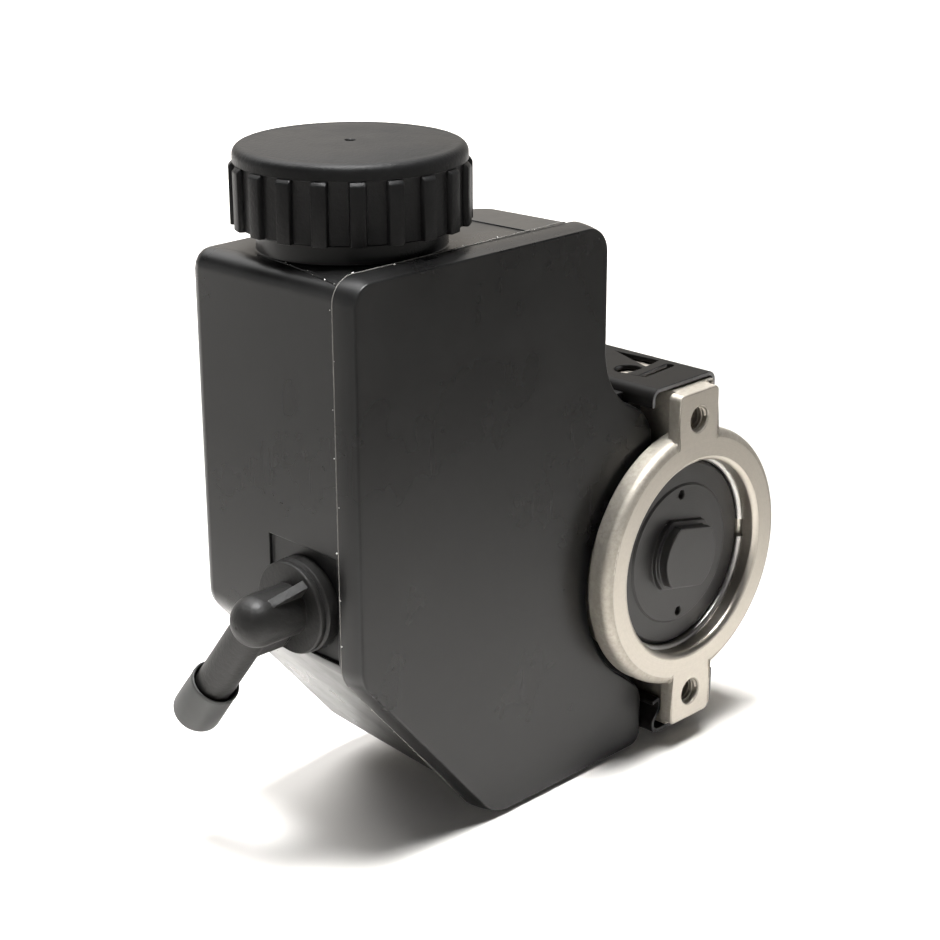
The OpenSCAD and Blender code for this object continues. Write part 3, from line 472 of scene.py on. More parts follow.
def moulded_grain():
    """Fine skin of a moulding, slow sink waves and smudges from handling."""
    tree, start, end = group(
        "Moulded grain",
        [("Grain Scale", NUMBER, 1500.0), ("Wave Scale", NUMBER, 14.0)],
        [("Grain", NUMBER), ("Waves", NUMBER), ("Smudge", NUMBER)])
    t = Tree(tree)
    place = t.place()
    grain = t.noise(place, start.outputs["Grain Scale"], 2.0, 0.6)
    waves = t.noise(place, start.outputs["Wave Scale"], 1.0, 0.4)
    patch = t.noise(place, 34.0, 4.0, 0.62)
    streak = t.add("ShaderNodeMapping", {"Vector": place, "Scale": (260.0, 260.0, 22.0)}).outputs[0]
    scuff_and_seam_highlight = t.spread(t.noise(streak, 1.0, 3.0, 0.55), 0.6, 0.8)
    smudge = t.math("ADD", t.spread(patch, 0.42, 0.72), t.math("MULTIPLY", scuff_and_seam_highlight, 0.35), clamp=True)
    t.give(end, {"Grain": grain, "Waves": waves, "Smudge": smudge})
    return tree


def turning_marks():
    """Rings that a lathe leaves about an axis along Y, and arcs of stain between them."""
    tree, start, end = group(
        "Turning marks",
        [("Centre", VECTOR, None), ("Pitch", NUMBER, 0.0004)],
        [("Rings", NUMBER), ("Bands", NUMBER)])
    t = Tree(tree)
    place = t.place()
    away = t.vector("SUBTRACT", {0: place, 1: start.outputs["Centre"]})[0]
    flat = t.vector("MULTIPLY", {0: away, 1: (1.0, 0.0, 1.0)})[0]
    radius = t.vector("LENGTH", {0: flat})["Value"]
    wobble = t.math("MULTIPLY", t.noise(place, 260.0, 2.0, 0.5), 0.6)
    phase = t.math("ADD", t.math("DIVIDE", radius, start.outputs["Pitch"]), wobble)
    rings = t.math("SINE", t.math("MULTIPLY", phase, math.tau))
    bands = t.add("ShaderNodeTexNoise", {"W": t.math("MULTIPLY", radius, 900.0), "Detail": 3.0},
                  noise_dimensions="1D").outputs[0]
    t.give(end, {"Rings": rings, "Bands": bands})
    return tree


def cast_skin():
    """Pits, lumps and stains of a die casting, and where its faces are machined."""
    tree, start, end = group(
        "Cast skin",
        [("Scale", NUMBER, 900.0)],
        [("Height", NUMBER), ("Stain", NUMBER), ("Machined", NUMBER)])
    square_on, rear_plane, front_plane, bore_r = 0.985, 0.0012, 0.0795, 0.0274
    t = Tree(tree)
    place = t.place()
    lumps = t.noise(place, start.outputs["Scale"], 4.0, 0.6)
    pits = t.add("ShaderNodeTexVoronoi", {"Vector": place, "Scale": 1500.0}).outputs["Distance"]
    height = t.math("ADD", lumps, t.math("MULTIPLY", t.spread(pits, 0.0, 0.22), 0.35))
    stain = t.spread(t.noise(place, 120.0, 5.0, 0.65), 0.35, 0.7)
    x, y, z = t.add("ShaderNodeSeparateXYZ", {0: place}).outputs
    square = t.math("GREATER_THAN", t.math("ABSOLUTE", t.facing()), square_on)
    rear = t.math("LESS_THAN", y, rear_plane)
    front = t.math("GREATER_THAN", y, front_plane)
    across = t.math("SQRT", t.math("ADD", t.math("MULTIPLY", x, x), t.math("MULTIPLY", z, z)))
    bore = t.math("LESS_THAN", across, bore_r)
    faces = t.math("MULTIPLY", square, t.math("MAXIMUM", rear, front))
    t.give(end, {"Height": height, "Stain": stain, "Machined": t.math("MAXIMUM", faces, bore)})
    return tree


GROUPS = {}


def effect(t, name, inputs=None):
    """Places a shared effect in a material and returns its outputs."""
    makers = {"grain": moulded_grain, "turning": turning_marks, "cast": cast_skin}
    if name not in GROUPS:
        GROUPS[name] = makers[name]()
    node = t.tree.nodes.new("ShaderNodeGroup")
    node.node_tree = GROUPS[name]
    for key, value in (inputs or {}).items():
        node.inputs[key].default_value = value
    return node.outputs


# Finishes

def material(name):
    """A new material and its node tree, ready for a Principled shader."""
    made = bpy.data.materials.new(name)
    made.use_nodes = True
    made.node_tree.nodes.clear()
    return made, Tree(made.node_tree)


def rgba(value, gain=1.0):
    """A colour times a gain, with its alpha."""
    return (*[min(1.0, c * gain) for c in value], 1.0)


MADE = {}


def moulding(name, shade, rough, grain=1500.0, depth=0.05, wave=0.0, specular=0.3, smudge=1.7):
    """Satin moulded plastic, duller where it is smudged."""
    if name in MADE:
        return MADE[name]
    dulled, grain_height, wave_height = 0.13, 0.00008, 0.002
    made, t = material(name)
    skin = effect(t, "grain", {"Grain Scale": grain, "Wave Scale": 16.0})
    fine = t.bump(depth * 4, grain_height, skin["Grain"])
    t.paint({
        "Base Color": t.tint(skin["Smudge"], rgba(shade), rgba(shade, smudge)),
        "Roughness": t.blend(skin["Smudge"], rough, rough + dulled), "Specular IOR Level": specular,
        "Normal": t.bump(wave, wave_height, skin["Waves"], fine)})
    MADE[name] = made
    return made


def metal(name, shade, rough, centre=(0.0, 0.0, 0.0), pitch=0.0004, depth=0.12, metallic=1.0, darker=0.72):
    """Turned or ground metal with marks about an axis along Y."""
    if name in MADE:
        return MADE[name]
    dulled, mark_height = 0.12, 0.00005
    made, t = material(name)
    marks = effect(t, "turning", {"Centre": centre, "Pitch": pitch})
    skin = effect(t, "grain", {"Grain Scale": 900.0})
    stain = t.math("MULTIPLY", marks["Bands"], skin["Smudge"])
    height = t.math("ADD", t.math("MULTIPLY", marks["Rings"], 0.5), skin["Grain"])
    t.paint({
        "Base Color": t.tint(stain, rgba(shade), rgba(shade, darker)), "Metallic": metallic,
        "Roughness": t.blend(skin["Smudge"], rough, rough + dulled),
        "Normal": t.bump(depth, mark_height, height)})
    MADE[name] = made
    return made


def cast_aluminium(shade):
    """Pale die casting, smoother and brighter where it is machined."""
    made, t = material("cast aluminium")
    skin = effect(t, "cast")
    marks = effect(t, "turning", {"Pitch": 0.0005})
    fresh = skin["Machined"]
    speck = t.spread(skin["Height"], 0.45, 0.95)
    specked = t.tint(speck, rgba(shade, 0.62), rgba(shade, 1.05))
    rough_shade = t.tint(skin["Stain"], specked, rgba(shade, 0.78))
    banded = t.tint(marks["Bands"], rgba(shade, 1.1), rgba(shade, 1.0))
    smooth_shade = t.tint(speck, rgba(shade, 0.95), banded)
    casting = t.math("MULTIPLY", skin["Height"], t.math("SUBTRACT", 1.0, fresh))
    cut = t.math("MULTIPLY", marks["Rings"], t.math("MULTIPLY", fresh, 0.05))
    t.paint({
        "Base Color": t.tint(fresh, rough_shade, smooth_shade), "Metallic": 1.0,
        "Roughness": t.blend(fresh, 0.6, t.spread(marks["Bands"], 0.3, 0.7, 0.30, 0.42)),
        "Normal": t.bump(0.35, 0.00022, t.math("ADD", casting, cut))})
    return made


def clip_coat(shade, bare):
    """Black coating on sheet steel, worn bright on the edges that were cut towards the rear."""
    made, t = material("clip coating")
    skin = effect(t, "grain", {"Grain Scale": 900.0})
    rear = t.spread(t.facing(), -0.98, -0.9, 1.0, 0.0)
    worn = t.math("MULTIPLY", rear, t.spread(skin["Smudge"], 0.0, 0.6, 0.4, 0.08))
    coat = t.tint(skin["Smudge"], rgba(shade, 0.45), rgba(shade, 0.8))
    t.paint({
        "Base Color": t.tint(worn, coat, rgba(bare)), "Metallic": worn,
        "Roughness": t.blend(skin["Smudge"], 0.42, 0.52), "Specular IOR Level": 0.07,
        "Normal": t.bump(0.08, 0.00006, skin["Grain"])})
    return made


def reservoir_plastic():
    """Black moulding of the reservoir."""
    shade = bpy.context.scene.pump_reservoir.black
    return moulding("black moulding", shade, 0.27, grain=1300.0, depth=0.02, wave=0.12)


def rubber():
    """Dull rubber of the seals."""
    shade = bpy.context.scene.pump_connection.rubber
    return moulding("sealing rubber", shade, 0.62, grain=700.0, depth=0.1, specular=0.25)


def steel():
    """Ground steel of the shaft and the rotating group."""
    return metal("ground steel", bpy.context.scene.pump_metal.steel, 0.26)


def drawn_wire():
    """Wire of the springs and of the retaining ring."""
    return metal("drawn wire", bpy.context.scene.pump_metal.wire, 0.3)


def black_coat():
    """Black coating of the end cover."""
    shade = bpy.context.scene.pump_metal.coated
    return metal("black coating", shade, 0.34, pitch=0.0007, depth=0.1, metallic=0.0, darker=1.7)


# Shapes that geometry nodes make

def thread_tree():
    """Geometry nodes: a helical ridge in a tapped hole."""
    tree, start, end = shape_group("Tapped thread", [
        ("Turns", NUMBER, 11.0), ("Radius", NUMBER, 0.0034), ("Depth", NUMBER, 0.014),
        ("Ridge", NUMBER, 0.0004), ("Place", VECTOR, None)])
    t = Tree(tree)
    helix = t.add("GeometryNodeCurveSpiral", {
        "Resolution": 32, "Rotations": start.outputs["Turns"], "Start Radius": start.outputs["Radius"],
        "End Radius": start.outputs["Radius"], "Height": start.outputs["Depth"]})
    ridge = t.add("GeometryNodeCurvePrimitiveCircle", {"Resolution": 4, "Radius": start.outputs["Ridge"]})
    swept = t.add("GeometryNodeCurveToMesh", {
        "Curve": helix.outputs[0], "Profile Curve": ridge.outputs["Curve"], "Fill Caps": True})
    placed = t.add("GeometryNodeTransform", {
        "Geometry": swept.outputs[0], "Translation": start.outputs["Place"],
        "Rotation": (-math.pi / 2, 0.0, 0.0)})
    t.realised(start, end, placed.outputs[0])
    return tree


def ring_tree():
    """Geometry nodes: copies of one shape round an axis along Z."""
    tree, start, end = shape_group("Shape ring", [
        ("Count", WHOLE, 20), ("Phase", NUMBER, 0.5), ("Place", VECTOR, None)])
    t = Tree(tree)
    points = t.add("GeometryNodePoints", {"Count": start.outputs["Count"]})
    number = t.math("ADD", t.add("GeometryNodeInputIndex").outputs[0], start.outputs["Phase"])
    angle = t.math("MULTIPLY", t.math("DIVIDE", number, start.outputs["Count"]), math.tau)
    turn = t.add("FunctionNodeEulerToRotation", {0: t.add("ShaderNodeCombineXYZ", {2: angle}).outputs[0]})
    copies = t.add("GeometryNodeInstanceOnPoints", {
        "Points": points.outputs[0], "Instance": start.outputs["Geometry"], "Rotation": turn.outputs[0]})
    placed = t.add("GeometryNodeTransform", {
        "Geometry": copies.outputs[0], "Translation": start.outputs["Place"]})
    t.realised(start, end, placed.outputs[0])
    return tree


def path_tree():
    """Geometry nodes: a round bead along a path of edges."""
    tree, start, end = shape_group("Bead on a path", [
        ("Radius", NUMBER, 0.0002), ("Count", WHOLE, 40), ("Uneven", NUMBER, 0.0), ("Seed", WHOLE, 1)])
    t = Tree(tree)
    line = t.add("GeometryNodeMeshToCurve", {"Mesh": start.outputs["Geometry"]})
    cut = t.add("GeometryNodeResampleCurve", {"Curve": line.outputs[0], "Count": start.outputs["Count"]})
    path = t.strayed(cut.outputs[0], start.outputs["Seed"], (1.0, 1.0, 1.0), start.outputs["Uneven"])
    circle = t.add("GeometryNodeCurvePrimitiveCircle", {"Resolution": 8, "Radius": start.outputs["Radius"]})
    swept = t.add("GeometryNodeCurveToMesh", {
        "Curve": path, "Profile Curve": circle.outputs["Curve"], "Fill Caps": True})
    t.realised(start, end, swept.outputs[0])
    return tree


def speck_tree():
    """Geometry nodes: small lumps strewn along a path of edges."""
    tree, start, end = shape_group("Specks on a path", [
        ("Count", WHOLE, 12), ("Seed", WHOLE, 1), ("Spread", NUMBER, 0.0006)])
    t = Tree(tree)
    path = t.add("GeometryNodeMeshToCurve", {"Mesh": start.outputs["Geometry"]})
    points = t.add("GeometryNodeCurveToPoints", {
        "Curve": path.outputs[0], "Count": start.outputs["Count"]}, mode="COUNT")
    moved = t.strayed(points.outputs[0], start.outputs["Seed"], (1.0, 6.0, 0.2), start.outputs["Spread"])
    lump = t.add("GeometryNodeMeshIcoSphere", {"Radius": 0.00016, "Subdivisions": 2})
    size = t.add("FunctionNodeRandomValue", {
        2: 0.5, 3: 1.6, "Seed": start.outputs["Seed"]}, data_type="FLOAT")
    lumps = t.add("GeometryNodeInstanceOnPoints", {
        "Points": moved, "Instance": lump.outputs[0], "Scale": size.outputs[1]})
    t.realised(start, end, lumps.outputs[0])
    return tree


def path_object(name, points):
    """An object that holds a path of edges, from points in millimetres."""
    mesh = bpy.data.meshes.new(name)
    mesh.from_pydata([p * MM for p in points], [(i, i + 1) for i in range(len(points) - 1)], [])
    return link(name, mesh)


def grown(obj, tree, values):
    """Runs a geometry node tree on an object and keeps the result as a plain mesh."""
    nodes = obj.modifiers.new("nodes", "NODES")
    nodes.node_group = tree
    for item in tree.interface.items_tree:
        if item.in_out == "INPUT" and item.name in values:
            nodes[item.identifier] = values[item.name]
    return plain(obj)


def moulded_seam(path, finish, bead_name, bead, speck_name, specks):
    """A bead along a path, and specks of pale flash strewn along it."""
    held = bpy.context.scene.pump_reservoir
    line = grown(path_object(bead_name, path), path_tree(), {
        **bead, "Uneven": 0.04 * MM, "Seed": held.flash_seed, "Finish": finish})
    settle(line, "pump", finish)
    pale = moulding("pale flash", held.flash, 0.6, specular=0.2, smudge=1.1)
    lumps = grown(path_object(speck_name, path), speck_tree(), {**specks, "Finish": pale})
    settle(lumps, "pump", pale)


# Stage and pieces

class PUMP_OT_stage(bpy.types.Operator):
    """Makes the floor, the soft lights and the camera at the photograph's angle"""

    bl_idname = "pump.stage"
    bl_label = "Stage"

    def make_floor(self, stage):
        """Pale floor that glows far from the part, where the lights don't reach."""
        gap, reach = 0.4 * MM, 6.0
        ground = CAD_BOX[0].z - gap
        corners = ((-reach, -reach), (reach, -reach), (reach, reach), (-reach, reach))
        mesh = bpy.data.meshes.new("floor")
        mesh.from_pydata([(x, y, ground) for x, y in corners], [], [(0, 1, 2, 3)])
        floor = link("floor", mesh)
        made, t = material("pale floor")
        place = t.place()
        tone = t.noise(place, 3.0, 3.0, 0.5)
        far = t.spread(t.vector("LENGTH", {0: place})["Value"], 0.5, 1.5)
        t.paint({
            "Base Color": t.tint(tone, rgba(stage.floor), rgba(stage.floor, 1.03)),
            "Roughness": 0.8, "Specular IOR Level": 0.1, "Emission Strength": 1.0,
            "Emission Color": t.tint(far, (0.0, 0.0, 0.0, 1.0), rgba(stage.floor, stage.surround))})
        mesh.materials.append(made)

    def make_sky(self, stage):
        """Even warm light from behind the part, and a pale band about the horizon."""
        behind, pale, warm = (0.66, 0.72, 0.22), (0.97, 0.97, 0.965, 1.0), (1.0, 0.93, 0.84, 1.0)
        sky = bpy.data.worlds.new("studio")
        sky.use_nodes = True
        t = Tree(sky.node_tree)
        ray = t.add("ShaderNodeTexCoord").outputs["Generated"]
        share = t.spread(t.vector("DOT_PRODUCT", {0: ray, 1: behind})["Value"], 0.55, 0.95)
        height = t.add("ShaderNodeSeparateXYZ", {0: ray}).outputs[2]
        band = t.spread(height, 0.2, 0.36, stage.surround * 1.2, 0.0)
        bright = t.math("MAXIMUM", t.math("MULTIPLY", share, stage.horizon), band)
        t.give(sky.node_tree.nodes["Background"], {"Color": t.tint(share, pale, warm), "Strength": bright})
        return sky

    def make_light(self, name, place, aim, size, watts, spread=180):
        """Soft rectangular lamp; its spread is in degrees."""
        lamp = bpy.data.lights.new(name, "AREA")
        lamp.shape = "RECTANGLE"
        lamp.size, lamp.size_y = size
        lamp.energy = watts
        lamp.spread = math.radians(spread)
        obj = link(name, lamp)
        obj.location = place
        obj.rotation_euler = (Vector(aim) - Vector(place)).to_track_quat("-Z", "Y").to_matrix().to_euler()

    def make_camera(self):
        """Camera that was fitted to the photograph."""
        photo_pixels, focal_pixels = 940, 2095.435
        place = (-0.39935, -0.31066, 0.20556)
        right = Vector((0.69974, -0.71439, -0.00339))
        up = Vector((0.24433, 0.23486, 0.94082))
        back = Vector((-0.67131, -0.65916, 0.33889))
        camera = bpy.data.cameras.new("camera")
        camera.sensor_width = 36.0
        camera.lens = focal_pixels / photo_pixels * camera.sensor_width
        camera.clip_start = 0.01
        view = link("camera", camera)
        view.matrix_world = Matrix.Translation(place) @ Matrix((right, up, back)).transposed().to_4x4()
        return view

    def execute(self, context):
        stage = context.scene.pump_stage
        self.make_floor(stage)
        context.scene.world = self.make_sky(stage)
        self.make_light("near", (-0.13, -0.03, 0.72), (-0.13, -0.02, 0.0), (0.36, 0.36), stage.near, 34)
        self.make_light("back", (0.45, 1.25, 1.15), (0.45, 1.15, -0.05), (2.2, 1.5), stage.back, 110)
        self.make_light("fill", (0.52, 0.30, 0.70), (0.52, 0.31, 0.0), (0.4, 0.4), stage.fill, 60)
        self.make_light("strip", (0.10, 0.75, 0.45), (-0.05, 0.03, 0.06), (0.9, 0.25), stage.strip)
        context.scene.camera = self.make_camera()
        context.scene.view_settings.view_transform = "Standard"
        return {"FINISHED"}


class PUMP_OT_housing(bpy.types.Operator):
    """Makes the cast housing with rounded edges and threads in its ears"""

    bl_idname = "pump.housing"
    bl_label = "Pump housing"

    def execute(self, context):
        metals = context.scene.pump_metal
        finish = cast_aluminium(metals.aluminium)
        body = soft_edges(copy_of("pump_housing", "cast_housing"), metals.cast_edge)
        settle(body, "pump", finish, ["pump_housing"])
        tree = thread_tree()
        ear, start = 38.0 * MM, 1.0 * MM
        sizes = {"Turns": 11.0, "Radius": 3.42 * MM, "Depth": 13.5 * MM, "Ridge": 0.42 * MM}
        threads = []
        for side in (-1, 1):
            thread = link("thread", bpy.data.meshes.new("thread"))
            threads.append(grown(thread, tree, {
                **sizes, "Place": (0.0, start, side * ear), "Finish": finish}))
        settle(join("ear_threads", threads), "pump", finish)
        return {"FINISHED"}


class PUMP_OT_end_cover(bpy.types.Operator):
    """Makes the coated end cover and finishes its retaining ring"""

    bl_idname = "pump.end_cover"
    bl_label = "End cover"

    def execute(self, context):
        cover = soft_edges(copy_of("end_cover", "coated_end_cover"), 0.3 * MM)
        settle(cover, "pump", black_coat(), ["end_cover"])
        finish_node("retaining_ring", drawn_wire())
        return {"FINISHED"}


class PUMP_OT_reservoir_body(bpy.types.Operator):
    """Makes the reservoir's moulded box with rounded edges, the step on its top and the mould's bead"""

    bl_idname = "pump.reservoir_body"
    bl_label = "Reservoir body"

    def top_step(self, rim, top, slope):
        """Low step on the box's top, beside the filler neck."""
        sunk, step, edge, corner = -0.5, 0.3, 0.12, 5
        left, right, front, back = -46.3, -33.8, rim + 0.1, rim + 29.5
        outline = rounded([(left, front), (right, front), (right, back, corner), (left, back)])
        rings = []
        for lift in (sunk, step):
            rings.append([Vector((p.x, p.y, top + lift - (p.y - rim) * slope)) for p in outline])
        return soft_edges(loft("top_step", rings), edge * MM)

    def bead_path(self, rim, top, left, slope):
        """Line of the mould's bead, from the top face down the rounding to the lid."""
        r, run, steps = 5.0, 32.5, 12
        first, sweep, bend = 95, 47, 1.3
        points = []
        for i in range(steps + 1):
            share = i / steps
            y = rim + 0.1 + run * (1 - share)
            turn = math.radians(first - sweep * share ** bend)
            drop = (y - rim) * slope
            x = left + drop + r * (1 - math.cos(turn))
            z = top - drop - r * (1 - math.sin(turn))
            points.append(Vector((x, y, z)))
        return points

    def execute(self, context):
        held = context.scene.pump_reservoir
        finish = reservoir_plastic()
        box = soft_edges(copy_of("reservoir_body", "moulded_reservoir"), held.seam_edge)
        settle(box, "pump", finish, ["reservoir_body"])
        lip, slope = 1.1, 1.0 / 51.8
        rim = high("reservoir_lid").y
        top, left = high("reservoir_lid").z - lip, low("reservoir_lid").x + lip
        smooth = moulding(
            "smooth moulding", held.black, 0.26, grain=1300.0, depth=0.03, wave=0.1, specular=0.45)
        settle(self.top_step(rim, top, slope), "pump", smooth)
        moulded_seam(
            self.bead_path(rim, top, left, slope), finish,
            "mould_bead", {"Radius": held.bead, "Count": 60},
            "flash_specks", {"Count": held.flash_count, "Seed": held.flash_seed, "Spread": 0.5 * MM})
        return {"FINISHED"}


class PUMP_OT_reservoir_lid(bpy.types.Operator):
    """Makes the welded lid with its leaning side, and the bead along its weld, its pale grey a painted highlight
    """

    bl_idname = "pump.reservoir_lid"
    bl_label = "Reservoir lid"

    def outline(self):
        """The lid's edge, anticlockwise in x and z, round the saddle and past the ears."""
        left, bottom, top = low("reservoir_lid").x, low("reservoir_lid").z, high("reservoir_lid").z
        arc_r, drop, arc_foot, arc_steps = 32.3, 2.5, 18.0, 24
        upper, lower, right = 8.2, 9.9, 26.5
        slope_top, slope_foot, notch, shoulder = -1.7, -66.8, 39.9, 49.2
        first = math.pi + math.acos(arc_foot / arc_r)
        last = math.pi - math.acos(upper / arc_r)
        corners = [(left, top, 6), (left, slope_top, 9), (slope_foot, bottom, 12), (-lower, bottom, 4.5)]
        corners.append((-lower, -drop - arc_r - 0.8, 8))
        for i in range(arc_steps):
            turn = first + (last - first) * i / arc_steps
            corners.append((arc_r * math.cos(turn), arc_r * math.sin(turn) - drop))
        corners += [(-upper, arc_r * math.sin(last) - drop + 1), (-upper, notch, 11)]
        corners += [(-right, shoulder, 18), (-right, top - 0.4, 7.5)]
        return rounded(corners, LID_CORNER_STEPS)

    def rings(self, edge, held):
        """Sections of the lid, from its hollow over the rim and down its side to its face."""
        front, rim = low("reservoir_lid").y, high("reservoir_lid").y
        r, draft = held.lid_edge / MM, held.lid_draft / MM
        wall, chamfer, flat = 2.5, 0.3, 0.7
        side_steps, edge_steps = 6, 8
        inner = inset(edge, wall)
        rings = [at_depth(inner, front + held.lid_plate / MM), at_depth(inner, rim)]
        rings += [at_depth(inset(edge, chamfer), rim), at_depth(edge, rim - chamfer)]
        for i in range(1, side_steps + 1):
            share = i / side_steps
            depth = rim - chamfer + (front + r - rim + chamfer) * share
            rings.append(at_depth(inset(edge, draft * share ** 2), depth))
        for i in range(1, edge_steps + 1):
            turn = math.pi / 2 * (1 - i / edge_steps)
            side = draft + r * (1 - math.sin(turn))
            rings.append(at_depth(inset(edge, side), front + r * (1 - math.cos(turn))))
        rings.append(at_depth(inset(edge, draft + r + flat), front))
        return rings

    def weld_path(self, edge):
        """Line of the weld on the lid's rim: along the top, the left side and the bottom."""
        step, sunk, top_end, bottom_end = 0.08, 0.12, -36.0, -40.0
        seen = 3 * (LID_CORNER_STEPS + 1)
        seam = [Vector((top_end, high("reservoir_lid").z - step)), *inset(edge, step)[:seen]]
        seam.append(Vector((bottom_end, low("reservoir_lid").z + step)))
        return at_depth(seam, high("reservoir_lid").y - sunk)

    def execute(self, context):
        held = context.scene.pump_reservoir
        edge = self.outline()
        lid = loft("welded_lid", self.rings(edge, held))
        settle(lid, "pump", reservoir_plastic(), ["reservoir_lid"])
        moulded_seam(
            # The weld bead is painted pale grey, a painted highlight along the seam
            self.weld_path(edge), moulding("highlight_painted seam", held.scuff_and_seam_highlight, 0.5, smudge=1.3),
            "weld_bead", {"Radius": 0.15 * MM, "Count": 420},
            "weld_specks", {
                "Count": 2 * held.flash_count, "Seed": held.flash_seed + 1, "Spread": 0.12 * MM})
        return {"FINISHED"}


class PUMP_OT_filler_cap(bpy.types.Operator):
    """Makes the ribbed filler cap"""

    bl_idname = "pump.filler_cap"
    bl_label = "Filler cap"

    def rib(self, inner, outer, width, bottom, top):
        """One rib on the +X side of the axis, with its upper end sloped back."""
        side = width / 2
        draft, lean, edge, turn = 0.3, 0.9, 0.3, 30
        rings = []
        for z, out in ((bottom, outer), (top - lean, outer), (top, outer - lean)):
            rings.append([Vector((inner, -side, z)), Vector((out, -side + draft, z)),
                          Vector((out, side - draft, z)), Vector((inner, side, z))])
        return soft_edges(loft("rib", rings), edge * MM, turn, flat=False)

    def profile(self, skirt, bottom, top, band, edge):
        """Half section of the cap without its ribs."""
        wall, chamfer, crown, overhang = 3.3, 0.4, 0.4, 0.35
        dimple = ((1.4, 0.0), (1.2, 0.2), (1.0, 1.4), (0.0, 1.4))
        bore, rim, roof, shoulder = skirt - wall, skirt + overhang, top - wall, top - crown
        points = [(0.0, roof), (bore, roof), (bore, bottom + chamfer), (bore + chamfer, bottom)]
        points += [(skirt - chamfer, bottom), (skirt, bottom + chamfer)]
        points += [(skirt - 0.1, band - 0.25), (skirt, band)]
        points += [(rim - 0.12, band + 0.02), (rim, band + 0.14), (rim, shoulder - edge)]
        points += quarter(rim - edge, shoulder - edge, edge)[1:]
        points += [(skirt - edge - 0.9, shoulder - 0.12), (skirt - edge - 1.6, shoulder + 0.02)]
        points.append((skirt * 0.5, top - 0.12))
        return points + [(r, top - down) for r, down in dimple]

    def execute(self, context):
        cap = context.scene.pump_cap
        bottom, top = low("filler_cap").z, high("filler_cap").z
        centre = (low("filler_cap") + high("filler_cap")) / 2
        rib_r = (high("filler_cap").x - low("filler_cap").x) / 2
        rib_height, rib_root, phase, steps = 1.2, 0.6, 0.81, 144
        skirt = rib_r - rib_height
        band = top - cap.band / MM
        finish = moulding("cap moulding", cap.black, 0.42, grain=1000.0, depth=0.3, specular=0.17)
        profile = self.profile(skirt, bottom, top, band, cap.edge / MM)
        body = lathe("cap_body", profile, Matrix.Translation((centre.x, centre.y, 0.0)), steps)
        body.data.materials.append(finish)
        rib = self.rib(skirt - rib_root, rib_r, cap.rib_width / MM, bottom, band)
        ribs = grown(rib, ring_tree(), {
            "Count": cap.rib_count, "Phase": phase, "Place": (centre.x * MM, centre.y * MM, 0.0),
            "Finish": finish})
        settle(join("ribbed_cap", [body, ribs]), "cap", finish, ["filler_cap"], 32)
        finish_node("cap_dipstick", finish)
        finish_node("cap_seal", rubber())
        return {"FINISHED"}


class PUMP_OT_return_connection(bpy.types.Operator):
    """Makes the return connection and its soft dust cap"""

    bl_idname = "pump.return_connection"
    bl_label = "Return connection"

    def dust_cap_profile(self, flare):
        """Half section of the dust cap, with its heights measured from the nipple's end."""
        bore, floor, mouth, flare_foot, tip, r = 4.8, 0.3, -11.0, 2.6, 3.5, 1.8
        lip = bore + flare
        edge = ((-0.12, 0.7), (0.0, 0.15), (0.2, 0.0), (0.42, 0.05), (0.6, 0.3), (0.62, 0.9))
        side = ((0.55, 2.0), (0.62, 6.0))
        points = [(0.0, floor), (bore, floor), (bore, mouth + flare_foot)]
        points += [(lip + out, mouth + up) for out, up in edge + side]
        return points + quarter(lip + 0.68 - r, tip - 0.25 - r, r) + [(2.0, tip - 0.06), (0.0, tip)]

    def execute(self, context):
        parts = context.scene.pump_connection
        finish = moulding("connection moulding", parts.black, 0.42, grain=900.0, depth=0.3, specular=0.26)
        elbow = soft_edges(copy_of("return_elbow", "moulded_elbow"), 0.14 * MM, 35)
        settle(elbow, "pump", finish, ["return_elbow"])
        grey = moulding(
            "soft grey moulding", parts.grey, 0.45, grain=600.0, depth=0.06, specular=0.35, smudge=1.25)
        nipple = [m for m in frame["record"]["mounts"] if m["name"] == "return_nipple"][0]
        turn = Vector(nipple["axis"]).to_track_quat("Z", "Y").to_matrix().to_4x4()
        place = Matrix.Translation(Vector(nipple["pos_m"]) / MM) @ turn
        cover = lathe("soft_dust_cap", self.dust_cap_profile(parts.lip / MM), place, 64)
        settle(cover, "pump", grey, ["dust_cap"])
        return {"FINISHED"}


class PUMP_OT_clips(bpy.types.Operator):
    """Makes the two sheet steel clips"""

    bl_idname = "pump.clips"
    bl_label = "Clips"

    def execute(self, context):
        metals = context.scene.pump_metal
        finish = clip_coat(metals.coated, metals.steel)
        for node, name in (("upper_clip", "coated_upper_clip"), ("lower_clip", "coated_lower_clip")):
            clip = soft_edges(copy_of(node, name), metals.clip_edge, 50)
            settle(clip, "pump", finish, [node])
        return {"FINISHED"}


class PUMP_OT_front_end(bpy.types.Operator):
    """Makes the shaft, its seal and the outlet fitting on the hidden sides"""

    bl_idname = "pump.front_end"
    bl_label = "Front end"

    def execute(self, context):
        metals = context.scene.pump_metal
        shaft = soft_edges(copy_of("drive_shaft", "ground_shaft"), 0.25 * MM)
        settle(shaft, "rotor", steel(), ["drive_shaft"])
        plated = metal("zinc plating", metals.plated, 0.3, centre=(0.039, 0.044, 0.0))
        fitting = soft_edges(copy_of("outlet_fitting", "plated_fitting"), 0.3 * MM)
        settle(fitting, "pump", plated, ["outlet_fitting"])
        seal = soft_edges(copy_of("shaft_seal", "shaft_lip_seal"), 0.2 * MM)
        settle(seal, "pump", rubber(), ["shaft_seal"])
        return {"FINISHED"}


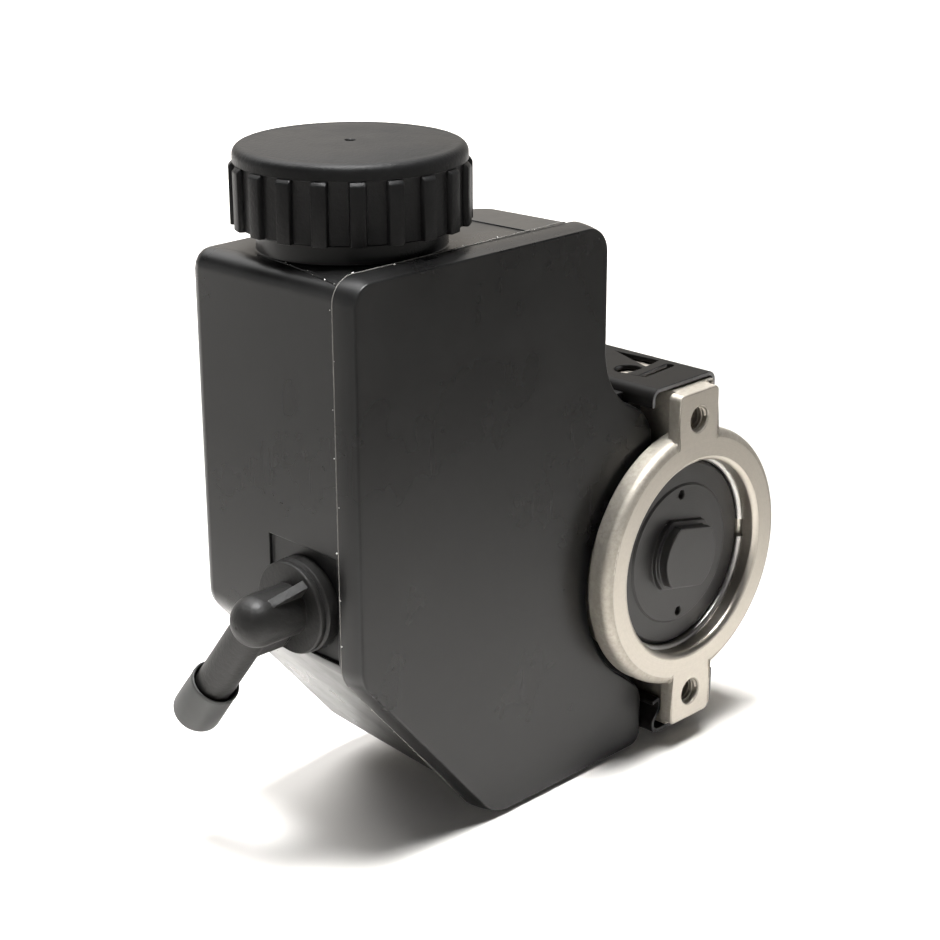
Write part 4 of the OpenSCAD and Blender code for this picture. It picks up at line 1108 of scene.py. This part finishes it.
class PUMP_OT_inner_pieces(bpy.types.Operator):
    """Finishes the pieces inside the housing, and makes a finished copy of the flow valve's spring"""

    bl_idname = "pump.inner_pieces"
    bl_label = "Inner pieces"

    def execute(self, context):
        slots = {"machined_steel": steel(), "nitrile_rubber": rubber(), "spring_steel": drawn_wire(),
                 "bearing_bronze": metal("bush bronze", context.scene.pump_metal.bronze, 0.35)}
        for row in frame["record"]["subparts"]:
            node = row["node"]
            if row["material_slot"] in slots and not NODES[node].hide_render:
                finish_node(node, slots[row["material_slot"]])
        spring = copy_of("flow_valve_spring", "squeezed_valve_spring")
        settle(spring, "pump", slots["spring_steel"], ["flow_valve_spring"])
        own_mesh(spring)
        return {"FINISHED"}


class PUMP_PT_panel(bpy.types.Panel):
    bl_label = "Power steering pump"
    bl_idname = "PUMP_PT_panel"
    bl_space_type = "VIEW_3D"
    bl_region_type = "UI"
    bl_category = "Pump"

    def draw(self, context):
        for operator in OPERATORS:
            self.layout.operator(operator.bl_idname)
        for name, kind in HELD.items():
            box = self.layout.box()
            for setting in kind.__annotations__:
                box.prop(getattr(context.scene, name), setting)


OPERATORS = (
    PUMP_OT_stage, PUMP_OT_housing, PUMP_OT_end_cover, PUMP_OT_reservoir_body, PUMP_OT_reservoir_lid,
    PUMP_OT_filler_cap, PUMP_OT_return_connection, PUMP_OT_clips, PUMP_OT_front_end, PUMP_OT_inner_pieces)
HELD = {
    "pump_reservoir": ReservoirSettings, "pump_cap": CapSettings, "pump_metal": MetalSettings,
    "pump_connection": ConnectionSettings, "pump_stage": StageSettings}


def register():
    for kind in (*HELD.values(), *OPERATORS, PUMP_PT_panel):
        bpy.utils.register_class(kind)
    for name, kind in HELD.items():
        setattr(bpy.types.Scene, name, PointerProperty(type=kind))


def unregister():
    for name in HELD:
        delattr(bpy.types.Scene, name)
    for kind in reversed((*HELD.values(), *OPERATORS, PUMP_PT_panel)):
        bpy.utils.unregister_class(kind)


def main():
    register()
    for operator in OPERATORS:
        family, name = operator.bl_idname.split(".")
        getattr(getattr(bpy.ops, family), name)()


if __name__ == "__main__":
    main()
